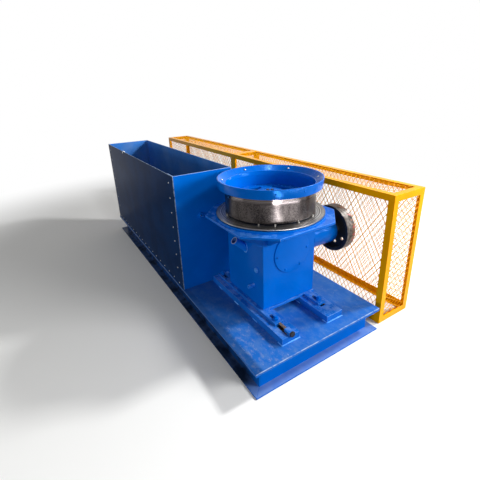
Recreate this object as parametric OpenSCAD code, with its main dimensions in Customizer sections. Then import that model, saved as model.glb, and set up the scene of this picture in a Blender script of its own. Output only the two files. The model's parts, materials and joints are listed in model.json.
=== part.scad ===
// Wet wire drawing machine: a long open tank and a worm gearbox with a take-up block, on one welded base,
// with a mesh belt guard standing beside it. Millimetres, +X towards the take-up end, +Y towards the guard.

/* [Base] */
// Length of the base
base_l = 3000; // [2600:10:3400]
// Width of the base
base_w = 1015; // [980:5:1200]
// Height of the base channels
channel_h = 163; // [120:1:200]
// Width of the channel flanges
flange_w = 65; // [50:1:80]
// Thickness of the channel webs
web_t = 9; // [6:0.5:12]
// Thickness of the channel flanges
flange_t = 10; // [8:0.5:14]
// Thickness of the deck plate
deck_t = 12; // [8:1:20]
// Number of cross beams under the deck
cross_beams = 4; // [2:1:6]

/* [Tank] */
// Distance between the slide rails and the tank
tank_gap = 21; // [10:1:100]
// Width of the tank
tank_w = 460; // [400:5:520]
// Height of the tank above the deck
tank_h = 886; // [700:1:1000]
// Thickness of the tank sheets
sheet_t = 5; // [4:0.5:8]
// Distance of the bolted side panel from the edge of the deck
panel_inset = 5; // [4:1:20]
// Width of the lip that the foot of the side panel is bolted to
lip_w = 40; // [30:1:60]
// Width of the lips that the ends of the side panel are bolted to
end_lip_w = 105; // [95:1:130]

/* [Slide rails] */
// Width of a slide rail
rail_w = 134; // [110:1:150]
// Height of a slide rail
rail_h = 47; // [40:1:60]
// Length of a rail in front of the foot lugs
rail_ahead = 115; // [90:1:130]
// Length of a rail behind the foot lugs
rail_behind = 12; // [6:1:30]
// Distance from the block's axis to the middle of the rail on the panel side
near_rail_dy = 207; // [190:1:215]
// Distance from the block's axis to the middle of the rail on the guard side
far_rail_dy = 157; // [150:1:190]
// Width of the slot in a rail
slot_w = 44; // [30:1:48]
// Width of the groove under the slot
groove_w = 66; // [56:1:76]
// Height of the groove under the slot
groove_h = 20; // [16:1:22]
// Floor of the groove above the deck
groove_z = 10; // [8:1:12]

/* [Gearbox] */
// Distance from the front edge of the deck to the axis of the take-up block
block_x = 572; // [560:1:580]
// Distance from the guard-side edge of the deck to the axis of the take-up block
block_dy = 493; // [485:1:500]
// Width and length of the gearbox housing
gearbox_w = 430; // [400:2:440]
// Thickness of the foot plate
foot_t = 18; // [14:1:24]
// Edge of the foot plate outside the housing
foot_edge = 8; // [4:1:12]
// Length of the foot lugs
lug_l = 152; // [130:1:160]
// Width of the foot lugs
lug_w = 60; // [56:1:80]
// Height of the top plate's upper face above the floor
table_z = 809; // [780:1:850]
// Thickness of the top plate
table_t = 15; // [12:1:25]
// Width of the top plate over its flats
table_w = 766; // [745:1:780]
// Cut of the top plate's corners along each side
table_cut = 168; // [150:1:190]
// Radius of the round cover on the front of the housing
cover_r = 143; // [130:1:150]
// Thickness of the round cover
cover_t = 8; // [6:1:14]
// Height of the round cover's centre above the floor
cover_z = 597; // [580:1:610]
// Offset of the round cover from the middle of the housing
cover_dy = 14; // [-20:1:20]

/* [Take-up block] */
// Radius of the wire band
band_r = 300; // [290:1:305]
// Height of the wire band
band_h = 161; // [120:1:180]
// Thickness of the steel ring that forms the wire band
band_t = 8; // [7:1:12]
// Radius of the steel flange under the band
flange_r = 362; // [345:1:366]
// Thickness of the steel flange
block_flange_t = 8; // [6:1:9]
// Height of the dark groove between flange and band
neck_h = 9; // [6:1:14]
// Running gap under the steel flange
block_gap = 5; // [5:0.5:8]
// Thickness of the seat ring on the top plate
seat_t = 11; // [6:0.5:13]
// Radius of the seat ring
seat_r = 371; // [368:1:372]
// Radius of the rim at its top
rim_r = 346; // [335:1:352]
// Height of the rim
rim_h = 60; // [45:1:75]
// Taper of the rim from top to bottom
rim_taper = 6; // [2:1:10]
// Width of the rim's top edge
rim_edge = 9; // [6:1:14]
// Depth of the sloping step inside the rim
step_h = 34; // [20:1:40]
// Radius of the step's foot beyond the bowl's wall
step_out = 14; // [10:1:18]
// Width of the ledge at the foot of the step
ledge_w = 7; // [4:1:9]
// Thickness of the bowl's wall
bowl_t = 7; // [6:1:10]
// Depth from the rim's top to the web of the bowl
bowl_d = 135; // [110:1:150]
// Thickness of the web
block_web_t = 16; // [12:1:22]
// Radius of the shaft of the take-up block
shaft_r = 45; // [35:1:50]
// Radius of the hub on the web
hub_r = 95; // [80:1:110]
// Height of the hub above the web
hub_h = 28; // [20:1:40]
// Number of openings in the web
web_holes = 6; // [4:1:8]

/* [Input drive] */
// Distance between the block's axis and the input shaft
centre_distance = 120; // [110:1:130]
// Height of the input shaft above the floor
input_z = 621; // [600:1:630]
// Radius of the input housing
input_r = 96; // [85:1:105]
// Length of the input housing
input_l = 221; // [200:1:225]
// Radius of the input shaft
input_shaft_r = 24; // [20:1:28]
// Radius of the pulley
pulley_r = 171; // [160:1:180]
// Width of the pulley
pulley_w = 75; // [60:1:78]
// Gap between the input housing and the pulley
pulley_gap = 17; // [10:1:18]
// Thickness of the pulley's rim
pulley_rim_t = 20; // [14:1:26]
// Depth of the pulley's web behind its edge on the gearbox side
pulley_web_at = 40; // [30:1:44]
// Thickness of the pulley's web
pulley_web_t = 14; // [10:1:16]
// Radius of the holes in the pulley's web
pulley_hole_r = 13; // [8:1:16]

/* [Guard] */
// Length of one guard section
guard_l = 1945; // [1700:5:2200]
// Depth of the guard
guard_d = 320; // [260:1:380]
// Height of the guard
guard_h = 951; // [850:1:1100]
// Distance from the base to the guard
guard_gap = 58; // [56:1:80]
// Distance from the front edge of the deck back to the guard
guard_inset = 30; // [10:1:80]
// Joint between the two sections of the guard
guard_joint = 0.5; // [0.3:0.1:0.9]
// Width of the angle bars' legs
angle_w = 45; // [35:1:60]
// Thickness of the angle bars' legs
angle_t = 5; // [3:0.5:7]
// Thickness of the mesh
mesh_t = 3; // [2:0.5:5]
// Width of a mesh strand
strand_w = 7; // [5:1:10]
// Short width of a mesh diamond
diamond_w = 120; // [100:5:160]
// Long width of a mesh diamond
diamond_l = 190; // [165:5:260]

/* [Hidden] */

$fn = 96;
e = 1;
fit = 0.2;
running = 0.05;
overall_l = guard_inset + 2 * guard_l + guard_joint;
overall_w = base_w + guard_gap + guard_d;
deck_z = channel_h + deck_t;
rail_z = deck_z + rail_h;
foot_z = rail_z + foot_t;
block_y = base_w - block_dy;
near_rail_y = block_y - near_rail_dy;
far_rail_y = block_y + far_rail_dy;
rail_l = gearbox_w + 2 * lug_l + rail_ahead + rail_behind;
rail_inset = block_x - gearbox_w / 2 - lug_l - rail_ahead;
tank_inset = rail_inset + rail_l + tank_gap;
housing_front = -block_x + gearbox_w / 2;
housing_back = -block_x - gearbox_w / 2;
housing_left = block_y - gearbox_w / 2;
housing_right = block_y + gearbox_w / 2;
seat_z = table_z + seat_t;
flange_z = seat_z + block_gap;
skirt_z = flange_z + block_flange_t;
band_z = skirt_z + neck_h;
rim_z = band_z + band_h;
top_z = rim_z + rim_h;
bowl_z = top_z - bowl_d;
skirt_r = band_r - band_t;
bowl_r = skirt_r - bowl_t;
input_x = -block_x + centre_distance;
pulley_y = housing_right + input_l + pulley_gap;

// Moves the machine from its front left corner to the middle of its footprint.
module in_frame() {
    translate([overall_l / 2, -overall_w / 2, 0]) children();
}

// A base channel with its flanges outward and both ends mitred, outer edge along X.
module mitred_channel(l) {
    r = flange_w - web_t;
    difference() {
        linear_extrude(channel_h)
            polygon([[0, 0], [l, 0], [l - flange_w, flange_w], [flange_w, flange_w]]);
        translate([0, 0, flange_t])
            linear_extrude(channel_h - 2 * flange_t)
                polygon([[-e, -e], [l + e, -e], [l - r, r], [r, r]]);
    }
}

module base_side_left() {
    color("royalblue") in_frame()
        translate([-base_l, 0, 0]) mitred_channel(base_l);
}

module base_side_right() {
    color("royalblue") in_frame()
        translate([0, base_w, 0]) rotate([0, 0, 180]) mitred_channel(base_l);
}

module base_front_beam() {
    color("royalblue") in_frame()
        rotate([0, 0, 90]) mitred_channel(base_w);
}

module base_rear_beam() {
    color("royalblue") in_frame()
        translate([-base_l, base_w, 0]) rotate([0, 0, -90]) mitred_channel(base_w);
}

module base_cross_beams() {
    pitch = base_l / (cross_beams + 1);
    color("royalblue") in_frame()
        for (i = [1:cross_beams])
            translate([-i * pitch, flange_w, 0])
                difference() {
                    cube([flange_w, base_w - 2 * flange_w, channel_h]);
                    translate([web_t, -e, flange_t])
                        cube([flange_w, base_w, channel_h - 2 * flange_t]);
                }
}

module deck_plate() {
    color("royalblue") in_frame()
        translate([-base_l, 0, channel_h]) cube([base_l, base_w, deck_t]);
}

tank_back_y = panel_inset + tank_w;
tank_inner_y = panel_inset + sheet_t;
tank_l = base_l - tank_inset;

// The tank's floor with the lip that its side panel is bolted to.
module tank_floor() {
    color("mediumblue") in_frame()
        translate([-base_l + sheet_t, tank_inner_y, deck_z]) {
            cube([tank_l - 2 * sheet_t, tank_w - 2 * sheet_t, sheet_t]);
            translate([end_lip_w, 0, 0]) cube([tank_l - 2 * sheet_t - 2 * end_lip_w, sheet_t, lip_w]);
        }
}

module tank_side_panel() {
    color("midnightblue") in_frame()
        translate([-base_l, panel_inset, deck_z]) cube([tank_l, sheet_t, tank_h]);
}

module tank_back_wall() {
    color("mediumblue") in_frame()
        translate([-base_l, tank_back_y - sheet_t, deck_z]) cube([tank_l, sheet_t, tank_h]);
}

// An end wall of the tank, bent into a lip behind the side panel.
module tank_end() {
    translate([-sheet_t, tank_inner_y, deck_z]) {
        cube([sheet_t, tank_w - 2 * sheet_t, tank_h]);
        translate([-end_lip_w + sheet_t, 0, sheet_t]) cube([end_lip_w, sheet_t, tank_h - sheet_t]);
    }
}

module tank_front_wall() {
    color("dodgerblue") in_frame()
        difference() {
            translate([-tank_inset, 0, 0]) tank_end();
            translate([-tank_inset - sheet_t - e, outlet_y, outlet_z])
                rotate([0, 90, 0]) cylinder(r = outlet_bore_r, h = sheet_t + 2 * e);
        }
}

module tank_end_wall() {
    color("dodgerblue") in_frame()
        translate([-base_l, 0, 0]) mirror([1, 0, 0]) tank_end();
}

outlet_y = 190;
outlet_z = 744;
outlet_bore_r = 8;
outlet_r = 20;
outlet_l = 22;

module wire_outlet() {
    color("dodgerblue") in_frame()
        translate([-tank_inset, outlet_y, outlet_z]) rotate([0, 90, 0])
            difference() {
                cylinder(r = outlet_r, h = outlet_l);
                translate([0, 0, -e]) cylinder(r = outlet_bore_r, h = outlet_l + 2 * e);
            }
}

rail_end_wall = 22;
far_front_wall = 102;

// A slide rail with a slot along its top and a wider groove below it for the bolt heads.
module slide_rail(y, front_wall) {
    slot_l = rail_l - rail_end_wall - front_wall;
    translate([-rail_inset - rail_l, y, deck_z])
        difference() {
            translate([0, -rail_w / 2, 0]) cube([rail_l, rail_w, rail_h]);
            translate([rail_end_wall, -slot_w / 2, groove_z]) cube([slot_l, slot_w, rail_h]);
            translate([rail_end_wall, -groove_w / 2, groove_z]) cube([slot_l, groove_w, groove_h]);
        }
}

screw_r = 8;
screw_dy = 3;
screw_up = 10;
screw_block_l = 50;
screw_block_w = 34;
screw_block_h = 20;
screw_axis_z = rail_z + screw_up;
screw_y = near_rail_y + screw_dy;

// The rail on the panel side, with the block on its front end that holds the adjusting screw.
module slide_rail_left() {
    color("royalblue") in_frame()
        difference() {
            union() {
                slide_rail(near_rail_y, rail_end_wall);
                translate([-rail_inset - screw_block_l, screw_y - screw_block_w / 2, rail_z])
                    cube([screw_block_l, screw_block_w, screw_block_h]);
            }
            translate([-rail_inset - screw_block_l - e, screw_y, screw_axis_z])
                rotate([0, 90, 0]) cylinder(r = screw_r, h = screw_block_l + 2 * e);
        }
}

module slide_rail_right() {
    color("royalblue") in_frame() slide_rail(far_rail_y, far_front_wall);
}

screw_head_r = 19;
screw_head_h = 12;
tip_gap = 1;
lug_end = housing_front + lug_l;

// The hexagon screw through the block, up to the foot lug that it pushes.
module adjusting_screw() {
    color("dimgray") in_frame()
        translate([-rail_inset, screw_y, screw_axis_z]) rotate([0, 90, 0]) {
            cylinder(r = screw_head_r, h = screw_head_h, $fn = 6);
            translate([0, 0, tip_gap - rail_ahead]) cylinder(r = screw_r - fit, h = rail_ahead - tip_gap);
        }
}

lug_slot_r = 12;
lug_slot_l = 76;
bolt_r = 10;
nut_r = 17;
nut_h = 16;
bolt_head_w = 34;
bolt_head_h = 14;
bolt_from_end = 31;
bolt_over_nut = 8;
bolt_head_gap = 2;

bolt_head_z = deck_z + groove_z + groove_h - bolt_head_h;

// One clamping bolt with its square head in the rail's groove and its nut on the lug.
module clamp_bolt(x, y) {
    translate([x, y, 0]) {
        translate([-bolt_head_w / 2, -groove_w / 2 + bolt_head_gap, bolt_head_z - fit])
            cube([bolt_head_w, groove_w - 2 * bolt_head_gap, bolt_head_h]);
        translate([0, 0, bolt_head_z]) cylinder(r = bolt_r, h = foot_z + nut_h + bolt_over_nut - bolt_head_z);
        translate([0, 0, foot_z]) cylinder(r = nut_r, h = nut_h, $fn = 6);
    }
}

module clamp_bolts() {
    color("gray") in_frame()
        for (y = [near_rail_y, far_rail_y]) {
            clamp_bolt(lug_end - bolt_from_end, y);
            clamp_bolt(housing_back - lug_l + bolt_from_end, y);
        }
}

// The foot plate with two slotted lugs at each end.
module gearbox_foot() {
    color("royalblue") in_frame()
        difference() {
            union() {
                translate([housing_back - foot_edge, housing_left - foot_edge, rail_z])
                    cube([gearbox_w + 2 * foot_edge, gearbox_w + 2 * foot_edge, foot_t]);
                for (y = [near_rail_y, far_rail_y])
                    translate([housing_back - lug_l, y - lug_w / 2, rail_z])
                        cube([gearbox_w + 2 * lug_l, lug_w, foot_t]);
            }
            for (y = [near_rail_y, far_rail_y])
                for (x = [lug_end - bolt_from_end, housing_back - lug_l + bolt_from_end])
                    lug_slot(x, y, x > -block_x ? -1 : 1);
        }
}

// A slot in a lug, from the bolt towards the housing.
module lug_slot(x, y, way) {
    translate([x, y, rail_z - e]) {
        cylinder(r = lug_slot_r, h = foot_t + 2 * e);
        translate([way * (lug_slot_l - 2 * lug_slot_r), 0, 0]) cylinder(r = lug_slot_r, h = foot_t + 2 * e);
        translate([min(0, way * (lug_slot_l - 2 * lug_slot_r)), -lug_slot_r, 0])
            cube([lug_slot_l - 2 * lug_slot_r, 2 * lug_slot_r, foot_t + 2 * e]);
    }
}

shaft_room = 5;
shaft_end = 70;
well_depth = 80;

module gearbox_housing() {
    color("dodgerblue") in_frame()
        difference() {
            translate([housing_back, housing_left, foot_z])
                cube([gearbox_w, gearbox_w, table_z - table_t - foot_z]);
            translate([-block_x, block_y, table_z - table_t - well_depth])
                cylinder(r = shaft_r + shaft_room, h = well_depth + e);
        }
}

// The square top plate with its four corners cut off.
module table_plate() {
    h = table_w / 2;
    c = h - table_cut;
    color("dodgerblue") in_frame()
        translate([-block_x, block_y, table_z - table_t])
            difference() {
                linear_extrude(table_t)
                    polygon([[h, -c], [h, c], [c, h], [-c, h], [-h, c], [-h, -c], [-c, -h], [c, -h]]);
                translate([0, 0, -e]) cylinder(r = shaft_r + shaft_room, h = table_t + 2 * e);
            }
}

bearing_r = 110;
bearing_gap = 6;

// The raised ring that the steel flange turns above, with the bearing of the vertical shaft.
module block_seat() {
    color("dodgerblue") in_frame()
        translate([-block_x, block_y, table_z])
            difference() {
                union() {
                    cylinder(r = seat_r, h = seat_t);
                    cylinder(r = bearing_r, h = bowl_z - block_web_t - bearing_gap - table_z);
                }
                translate([0, 0, -e]) cylinder(r = shaft_r + running, h = bowl_z - table_z);
            }
}

module front_cover() {
    color("dodgerblue") in_frame()
        translate([housing_front, block_y + cover_dy, cover_z])
            rotate([0, 90, 0]) cylinder(r = cover_r, h = cover_t);
}

module input_housing() {
    color("dodgerblue") in_frame()
        translate([input_x, housing_right, input_z]) rotate([-90, 0, 0])
            difference() {
                cylinder(r = input_r, h = input_l);
                translate([0, 0, -e]) cylinder(r = input_shaft_r + running, h = input_l + 2 * e);
            }
}

sleeve_r = 25;
sleeve_wall = 5;
sleeve_l = 110;
sleeve_tilt = 41;
sleeve_from_front = 202;
sleeve_z = 614;

// The open filler pipe, which rises outward from the housing's side.
module side_sleeve() {
    behind = 2 * sleeve_r;
    color("dodgerblue") in_frame()
        translate([housing_front - sleeve_from_front, housing_left, sleeve_z])
            difference() {
                rotate([90 - sleeve_tilt, 0, 0]) translate([0, 0, -behind])
                    difference() {
                        cylinder(r = sleeve_r, h = sleeve_l + behind);
                        translate([0, 0, -e])
                            cylinder(r = sleeve_r - sleeve_wall, h = sleeve_l + behind + 2 * e);
                    }
                translate([-behind, 0, -2 * behind]) cube([2 * behind, 2 * behind, 4 * behind]);
            }
}

gusset_t = 10;
gusset_drop = 96;
gusset_toe = 16;
gusset_back = 2;
gusset_aside = 40;

// A three-cornered rib under the top plate, from the origin outward along +X, with its top at z = 0.
module gusset(reach) {
    translate([0, gusset_t / 2, 0]) rotate([90, 0, 0])
        linear_extrude(gusset_t)
            polygon([[0, 0], [reach, 0], [gusset_toe, -gusset_drop], [0, -gusset_drop]]);
}

module table_gussets() {
    reach = (table_w - gearbox_w) / 2 - gusset_back;
    side_at = gearbox_w / 2 - gusset_t / 2;
    color("dodgerblue") in_frame()
        translate([-block_x, block_y, table_z - table_t]) {
            translate([gearbox_w / 2, -gearbox_w / 2 + gusset_aside, 0]) gusset(reach);
            translate([side_at, -gearbox_w / 2, 0]) rotate([0, 0, -90]) gusset(reach);
            for (s = [-1, 1])
                translate([-gearbox_w / 2, s * (gearbox_w / 2 - gusset_aside), 0])
                    rotate([0, 0, 180]) gusset(reach);
        }
}

sight_from_front = 70;
sight_z = 503;
sight_r = 17;
sight_h = 8;
sight_hex_r = 12;
sight_hex_h = 5;
drain_from_front = 103;
drain_z = 377;
drain_r = 13;
drain_bore_r = 9;
drain_l = 48;
drain_bore_l = 18;

module sight_plug() {
    color("silver") in_frame()
        translate([housing_front - sight_from_front, housing_left, sight_z]) rotate([90, 0, 0]) {
            cylinder(r = sight_r, h = sight_h);
            cylinder(r = sight_hex_r, h = sight_h + sight_hex_h, $fn = 6);
        }
}

module drain_stub() {
    color("dodgerblue") in_frame()
        translate([housing_front - drain_from_front, housing_left, drain_z]) rotate([90, 0, 0])
            difference() {
                cylinder(r = drain_r, h = drain_l);
                translate([0, 0, drain_l - drain_bore_l]) cylinder(r = drain_bore_r, h = drain_bore_l + e);
            }
}

// Turns an outline of radius and height about the block's axis.
module about_block() {
    in_frame() translate([-block_x, block_y, 0]) children();
}

module block_flange() {
    color("gray") about_block()
        translate([0, 0, flange_z])
            difference() {
                cylinder(r = flange_r, h = block_flange_t);
                translate([0, 0, -e]) cylinder(r = bowl_r, h = block_flange_t + 2 * e);
            }
}

web_hole_inner = 125;
web_hole_outer = 225;
web_arm_angle = 22;

// The wall of the cast bowl, which carries the wire band.
module block_skirt() {
    color("dodgerblue") about_block()
        translate([0, 0, skirt_z])
            difference() {
                cylinder(r = skirt_r, h = rim_z - skirt_z);
                translate([0, 0, -e]) cylinder(r = bowl_r, h = rim_z - skirt_z + 2 * e);
            }
}

// The web of the bowl with its hub, and the openings between its arms.
module block_web() {
    color("dodgerblue") about_block()
        difference() {
            union() {
                translate([0, 0, bowl_z - block_web_t]) cylinder(r = bowl_r, h = block_web_t);
                translate([0, 0, bowl_z]) cylinder(r = hub_r, h = hub_h);
            }
            translate([0, 0, bowl_z - block_web_t - e])
                cylinder(r = shaft_r + fit, h = block_web_t + hub_h + 2 * e);
            for (i = [0:web_holes - 1])
                rotate([0, 0, i * 360 / web_holes]) web_opening();
        }
}

// One opening of the web, bounded by two arcs and two radii.
module web_opening() {
    half = (360 / web_holes - web_arm_angle) / 2;
    translate([0, 0, bowl_z - block_web_t - e])
        rotate([0, 0, -half])
            rotate_extrude(angle = 2 * half)
                translate([web_hole_inner, 0]) square([web_hole_outer - web_hole_inner, block_web_t + 2 * e]);
}

module block_band() {
    color("silver") about_block()
        translate([0, 0, band_z])
            difference() {
                cylinder(r = band_r, h = band_h);
                translate([0, 0, -e]) cylinder(r = skirt_r + fit, h = band_h + 2 * e);
            }
}

// The rim above the band, with its sloping inner step.
module block_rim() {
    step_z = top_z - step_h;
    color("dodgerblue") about_block()
        rotate_extrude()
            polygon([
                [bowl_r, rim_z], [rim_r - rim_taper, rim_z], [rim_r, top_z], [rim_r - rim_edge, top_z],
                [bowl_r + step_out, step_z], [bowl_r + step_out - ledge_w, step_z]]);
}

keeper_r = 62;
keeper_h = 8;
keeper_turn = 53;
keeper_bolt_at = 14;
keeper_bolt_r = 12;
keeper_bolt_h = 8;

// The vertical shaft with the keeper plate and its two bolts on top.
module block_shaft() {
    color("dimgray") about_block() {
        translate([0, 0, table_z - table_t - shaft_end])
            cylinder(r = shaft_r, h = bowl_z + hub_h - table_z + table_t + shaft_end);
        translate([0, 0, bowl_z + hub_h]) {
            cylinder(r = keeper_r, h = keeper_h);
            for (s = [-1, 1])
                rotate([0, 0, keeper_turn]) translate([s * keeper_bolt_at, 0, keeper_h])
                    cylinder(r = keeper_bolt_r, h = keeper_bolt_h, $fn = 6);
        }
    }
}

// Turns a shape made along Z onto the input shaft's axis, pointing away from the housing.
module about_input(y) {
    in_frame() translate([input_x, y, input_z]) rotate([-90, 0, 0]) children();
}

pulley_hub_r = 48;
pulley_hole_at = 108;
pulley_hole_turns = [38, 79, 218, 259];
input_shaft_start = 8;

module pulley() {
    rim_inner = pulley_r - pulley_rim_t;
    web_back = pulley_web_at + pulley_web_t;
    color("dimgray") about_input(pulley_y)
        difference() {
            rotate_extrude()
                polygon([
                    [input_shaft_r + fit, 0], [pulley_hub_r, 0], [pulley_hub_r, pulley_web_at],
                    [rim_inner, pulley_web_at], [rim_inner, 0], [pulley_r, 0], [pulley_r, pulley_w],
                    [rim_inner, pulley_w], [rim_inner, web_back], [pulley_hub_r, web_back],
                    [pulley_hub_r, pulley_w], [input_shaft_r + fit, pulley_w]]);
            for (turn = pulley_hole_turns)
                rotate([0, 0, turn])
                    translate([pulley_hole_at, 0, pulley_web_at - e])
                        cylinder(r = pulley_hole_r, h = pulley_web_t + 2 * e, $fn = 32);
        }
}

module input_shaft() {
    color("silver") about_input(housing_right + input_shaft_start)
        cylinder(r = input_shaft_r, h = input_l + pulley_gap + pulley_w - input_shaft_start);
}

// An angle bar along X with its outer corner on the X axis and its legs along +Y and +Z.
module angle_bar(l) {
    cube([l, angle_w, angle_t]);
    cube([l, angle_t, angle_w]);
}

guard_y = base_w + guard_gap;
guard_pitch = guard_l + guard_joint;

// Places a guard section: number 0 is at the front and number 1 behind it.
module guard_section(number) {
    in_frame() translate([-guard_inset - guard_l - number * guard_pitch, guard_y, 0]) children();
}

// The four corner posts of a guard section.
module section_posts() {
    post_h = guard_h - angle_t;
    for (mx = [0, 1], my = [0, 1])
        translate([mx * guard_l, my * guard_d, 0]) mirror([mx, 0, 0]) mirror([0, my, 0]) {
            cube([angle_w, angle_t, post_h]);
            cube([angle_t, angle_w, post_h]);
        }
}

module guard_posts() {
    color("gold") for (n = [0, 1]) guard_section(n) section_posts();
}

// The four long rails of a guard section, two at the floor and two over the posts.
module section_long_rails() {
    for (my = [0, 1])
        translate([0, my * guard_d, 0]) mirror([0, my, 0]) {
            translate([angle_w, 0, 0]) angle_bar(guard_l - 2 * angle_w);
            translate([0, 0, guard_h]) mirror([0, 0, 1]) {
                cube([guard_l, angle_w, angle_t]);
                translate([angle_w, 0, 0]) cube([guard_l - 2 * angle_w, angle_t, angle_w]);
            }
        }
}

module guard_long_rails() {
    color("gold") for (n = [0, 1]) guard_section(n) section_long_rails();
}

// The four short rails across the ends of a guard section.
module section_cross_rails() {
    for (mx = [0, 1], mz = [0, 1])
        translate([mx * guard_l, angle_w, mz * guard_h]) mirror([mx, 0, 0]) mirror([0, 0, mz]) {
            cube([angle_w, guard_d - 2 * angle_w, angle_t]);
            cube([angle_t, guard_d - 2 * angle_w, angle_w]);
        }
}

module guard_cross_rails() {
    color("gold") for (n = [0, 1]) guard_section(n) section_cross_rails();
}

// A flat sheet of diamond mesh with a plain edge, from the origin to [w, h].
module mesh_sheet(w, h, pitch_w, pitch_h) {
    edge = strand_w;
    cols = round(w / pitch_w);
    rows = round(h / pitch_h);
    pw = (w - 2 * edge) / cols;
    ph = (h - 2 * edge) / rows;
    linear_extrude(mesh_t)
        difference() {
            square([w, h]);
            intersection() {
                translate([edge, edge]) square([w - 2 * edge, h - 2 * edge]);
                for (i = [0:2 * cols], j = [0:2 * rows])
                    if ((i + j) % 2 == 0)
                        translate([edge + i * pw / 2, edge + j * ph / 2]) diamond(pw, ph);
            }
        }
}

// The opening between four strands.
module diamond(pw, ph) {
    k = strand_w * sqrt(pw * pw + ph * ph) / 2;
    a = pw / 2 - k / ph;
    b = ph / 2 - k / pw;
    polygon([[-a, 0], [0, -b], [a, 0], [0, b]]);
}

side_mesh_h = guard_h - 2 * angle_t - mesh_t;
side_mesh_l = guard_l - 2 * angle_t;
inner_d = guard_d - 2 * angle_t - 2 * mesh_t;

module side_mesh() {
    mesh_sheet(side_mesh_l, side_mesh_h, diamond_w, diamond_l);
}

module near_mesh() {
    translate([angle_t, angle_t + mesh_t, angle_t]) rotate([90, 0, 0]) side_mesh();
}

module far_mesh() {
    translate([angle_t, guard_d - angle_t, angle_t]) rotate([90, 0, 0]) side_mesh();
}

module top_mesh() {
    translate([angle_t, angle_t, guard_h - angle_t - mesh_t])
        mesh_sheet(side_mesh_l, guard_d - 2 * angle_t, diamond_w, diamond_l);
}

// The mesh over the open end of a section, on its low X side.
module end_mesh() {
    translate([angle_t, angle_t + mesh_t, angle_t]) rotate([90, 0, 90])
        mesh_sheet(inner_d, side_mesh_h, diamond_l, diamond_w);
}

module guard_front_near_mesh() { color("gold") guard_section(0) near_mesh(); }
module guard_front_far_mesh() { color("gold") guard_section(0) far_mesh(); }
module guard_front_top_mesh() { color("gold") guard_section(0) top_mesh(); }
module guard_rear_near_mesh() { color("gold") guard_section(1) near_mesh(); }
module guard_rear_far_mesh() { color("gold") guard_section(1) far_mesh(); }
module guard_rear_top_mesh() { color("gold") guard_section(1) top_mesh(); }

module guard_end_meshes() {
    color("gold") {
        guard_section(1) end_mesh();
        guard_section(0) translate([guard_l, 0, 0]) mirror([1, 0, 0]) end_mesh();
    }
}

base_side_left();
base_side_right();
base_front_beam();
base_rear_beam();
base_cross_beams();
deck_plate();
tank_floor();
tank_side_panel();
tank_back_wall();
tank_front_wall();
tank_end_wall();
wire_outlet();
slide_rail_left();
slide_rail_right();
adjusting_screw();
clamp_bolts();
gearbox_foot();
gearbox_housing();
table_plate();
table_gussets();
block_seat();
front_cover();
input_housing();
side_sleeve();
sight_plug();
drain_stub();
block_flange();
block_skirt();
block_web();
block_band();
block_rim();
block_shaft();
pulley();
input_shaft();
guard_posts();
guard_long_rails();
guard_cross_rails();
guard_front_near_mesh();
guard_front_far_mesh();
guard_front_top_mesh();
guard_rear_near_mesh();
guard_rear_far_mesh();
guard_rear_top_mesh();
guard_end_meshes();
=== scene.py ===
"""Looks of a wet wire drawing machine: open tank, gearbox, vertical take-up block and mesh belt guard."""

import json
import logging
import math
from collections.abc import Iterator
from contextlib import contextmanager
from dataclasses import dataclass
from enum import Enum

import bmesh
import bpy
import numpy as np
from mathutils import Matrix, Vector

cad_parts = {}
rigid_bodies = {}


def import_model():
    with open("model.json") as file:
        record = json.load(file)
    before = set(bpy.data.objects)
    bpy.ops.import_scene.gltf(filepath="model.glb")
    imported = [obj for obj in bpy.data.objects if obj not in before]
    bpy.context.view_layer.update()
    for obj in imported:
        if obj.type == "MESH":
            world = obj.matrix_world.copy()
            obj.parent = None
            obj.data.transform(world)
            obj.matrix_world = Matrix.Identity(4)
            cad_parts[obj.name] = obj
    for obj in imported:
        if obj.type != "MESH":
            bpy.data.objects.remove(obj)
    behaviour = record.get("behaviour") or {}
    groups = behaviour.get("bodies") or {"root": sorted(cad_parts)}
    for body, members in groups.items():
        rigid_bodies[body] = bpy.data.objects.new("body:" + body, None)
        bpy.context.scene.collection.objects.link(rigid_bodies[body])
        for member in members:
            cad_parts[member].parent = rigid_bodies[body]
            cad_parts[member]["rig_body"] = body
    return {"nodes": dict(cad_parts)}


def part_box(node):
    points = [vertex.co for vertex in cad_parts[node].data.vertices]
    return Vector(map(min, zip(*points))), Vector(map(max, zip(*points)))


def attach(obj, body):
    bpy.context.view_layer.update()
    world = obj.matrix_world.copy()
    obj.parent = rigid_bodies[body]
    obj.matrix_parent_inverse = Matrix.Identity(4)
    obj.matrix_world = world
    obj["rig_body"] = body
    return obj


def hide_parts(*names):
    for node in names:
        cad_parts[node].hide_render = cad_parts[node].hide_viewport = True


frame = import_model()

Array = np.ndarray
Node = bpy.types.ShaderNode
Piece = bpy.types.Object
Socket = bpy.types.NodeSocket
Material = bpy.types.Material
Mesh = bpy.types.Mesh
Shape = tuple[Array, Array]
Pair = tuple[float, float]
MM = 0.001
WELD_SHARP = 70.0
LOG = logging.getLogger("wire_machine")


class Body(Enum):
    """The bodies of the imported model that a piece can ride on."""

    MACHINE = "machine"
    BLOCK = "take_up_block"
    DRIVE = "input_drive"


class Slot(Enum):
    """The record's material slots."""

    BLUE = "blue_enamel"
    PANEL = "panel_enamel"
    YELLOW = "yellow_enamel"
    WORN = "worn_steel"
    MACHINED = "machined_steel"
    BLACK = "black_steel"
    CAST = "cast_iron"


class Lamp(Enum):
    """What a lamp does: whether it lights matt surfaces and whether glossy ones mirror it."""

    WHOLE = (True, True)
    GLOW = (True, False)
    GLINT = (False, True)


# Places and shapes


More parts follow.
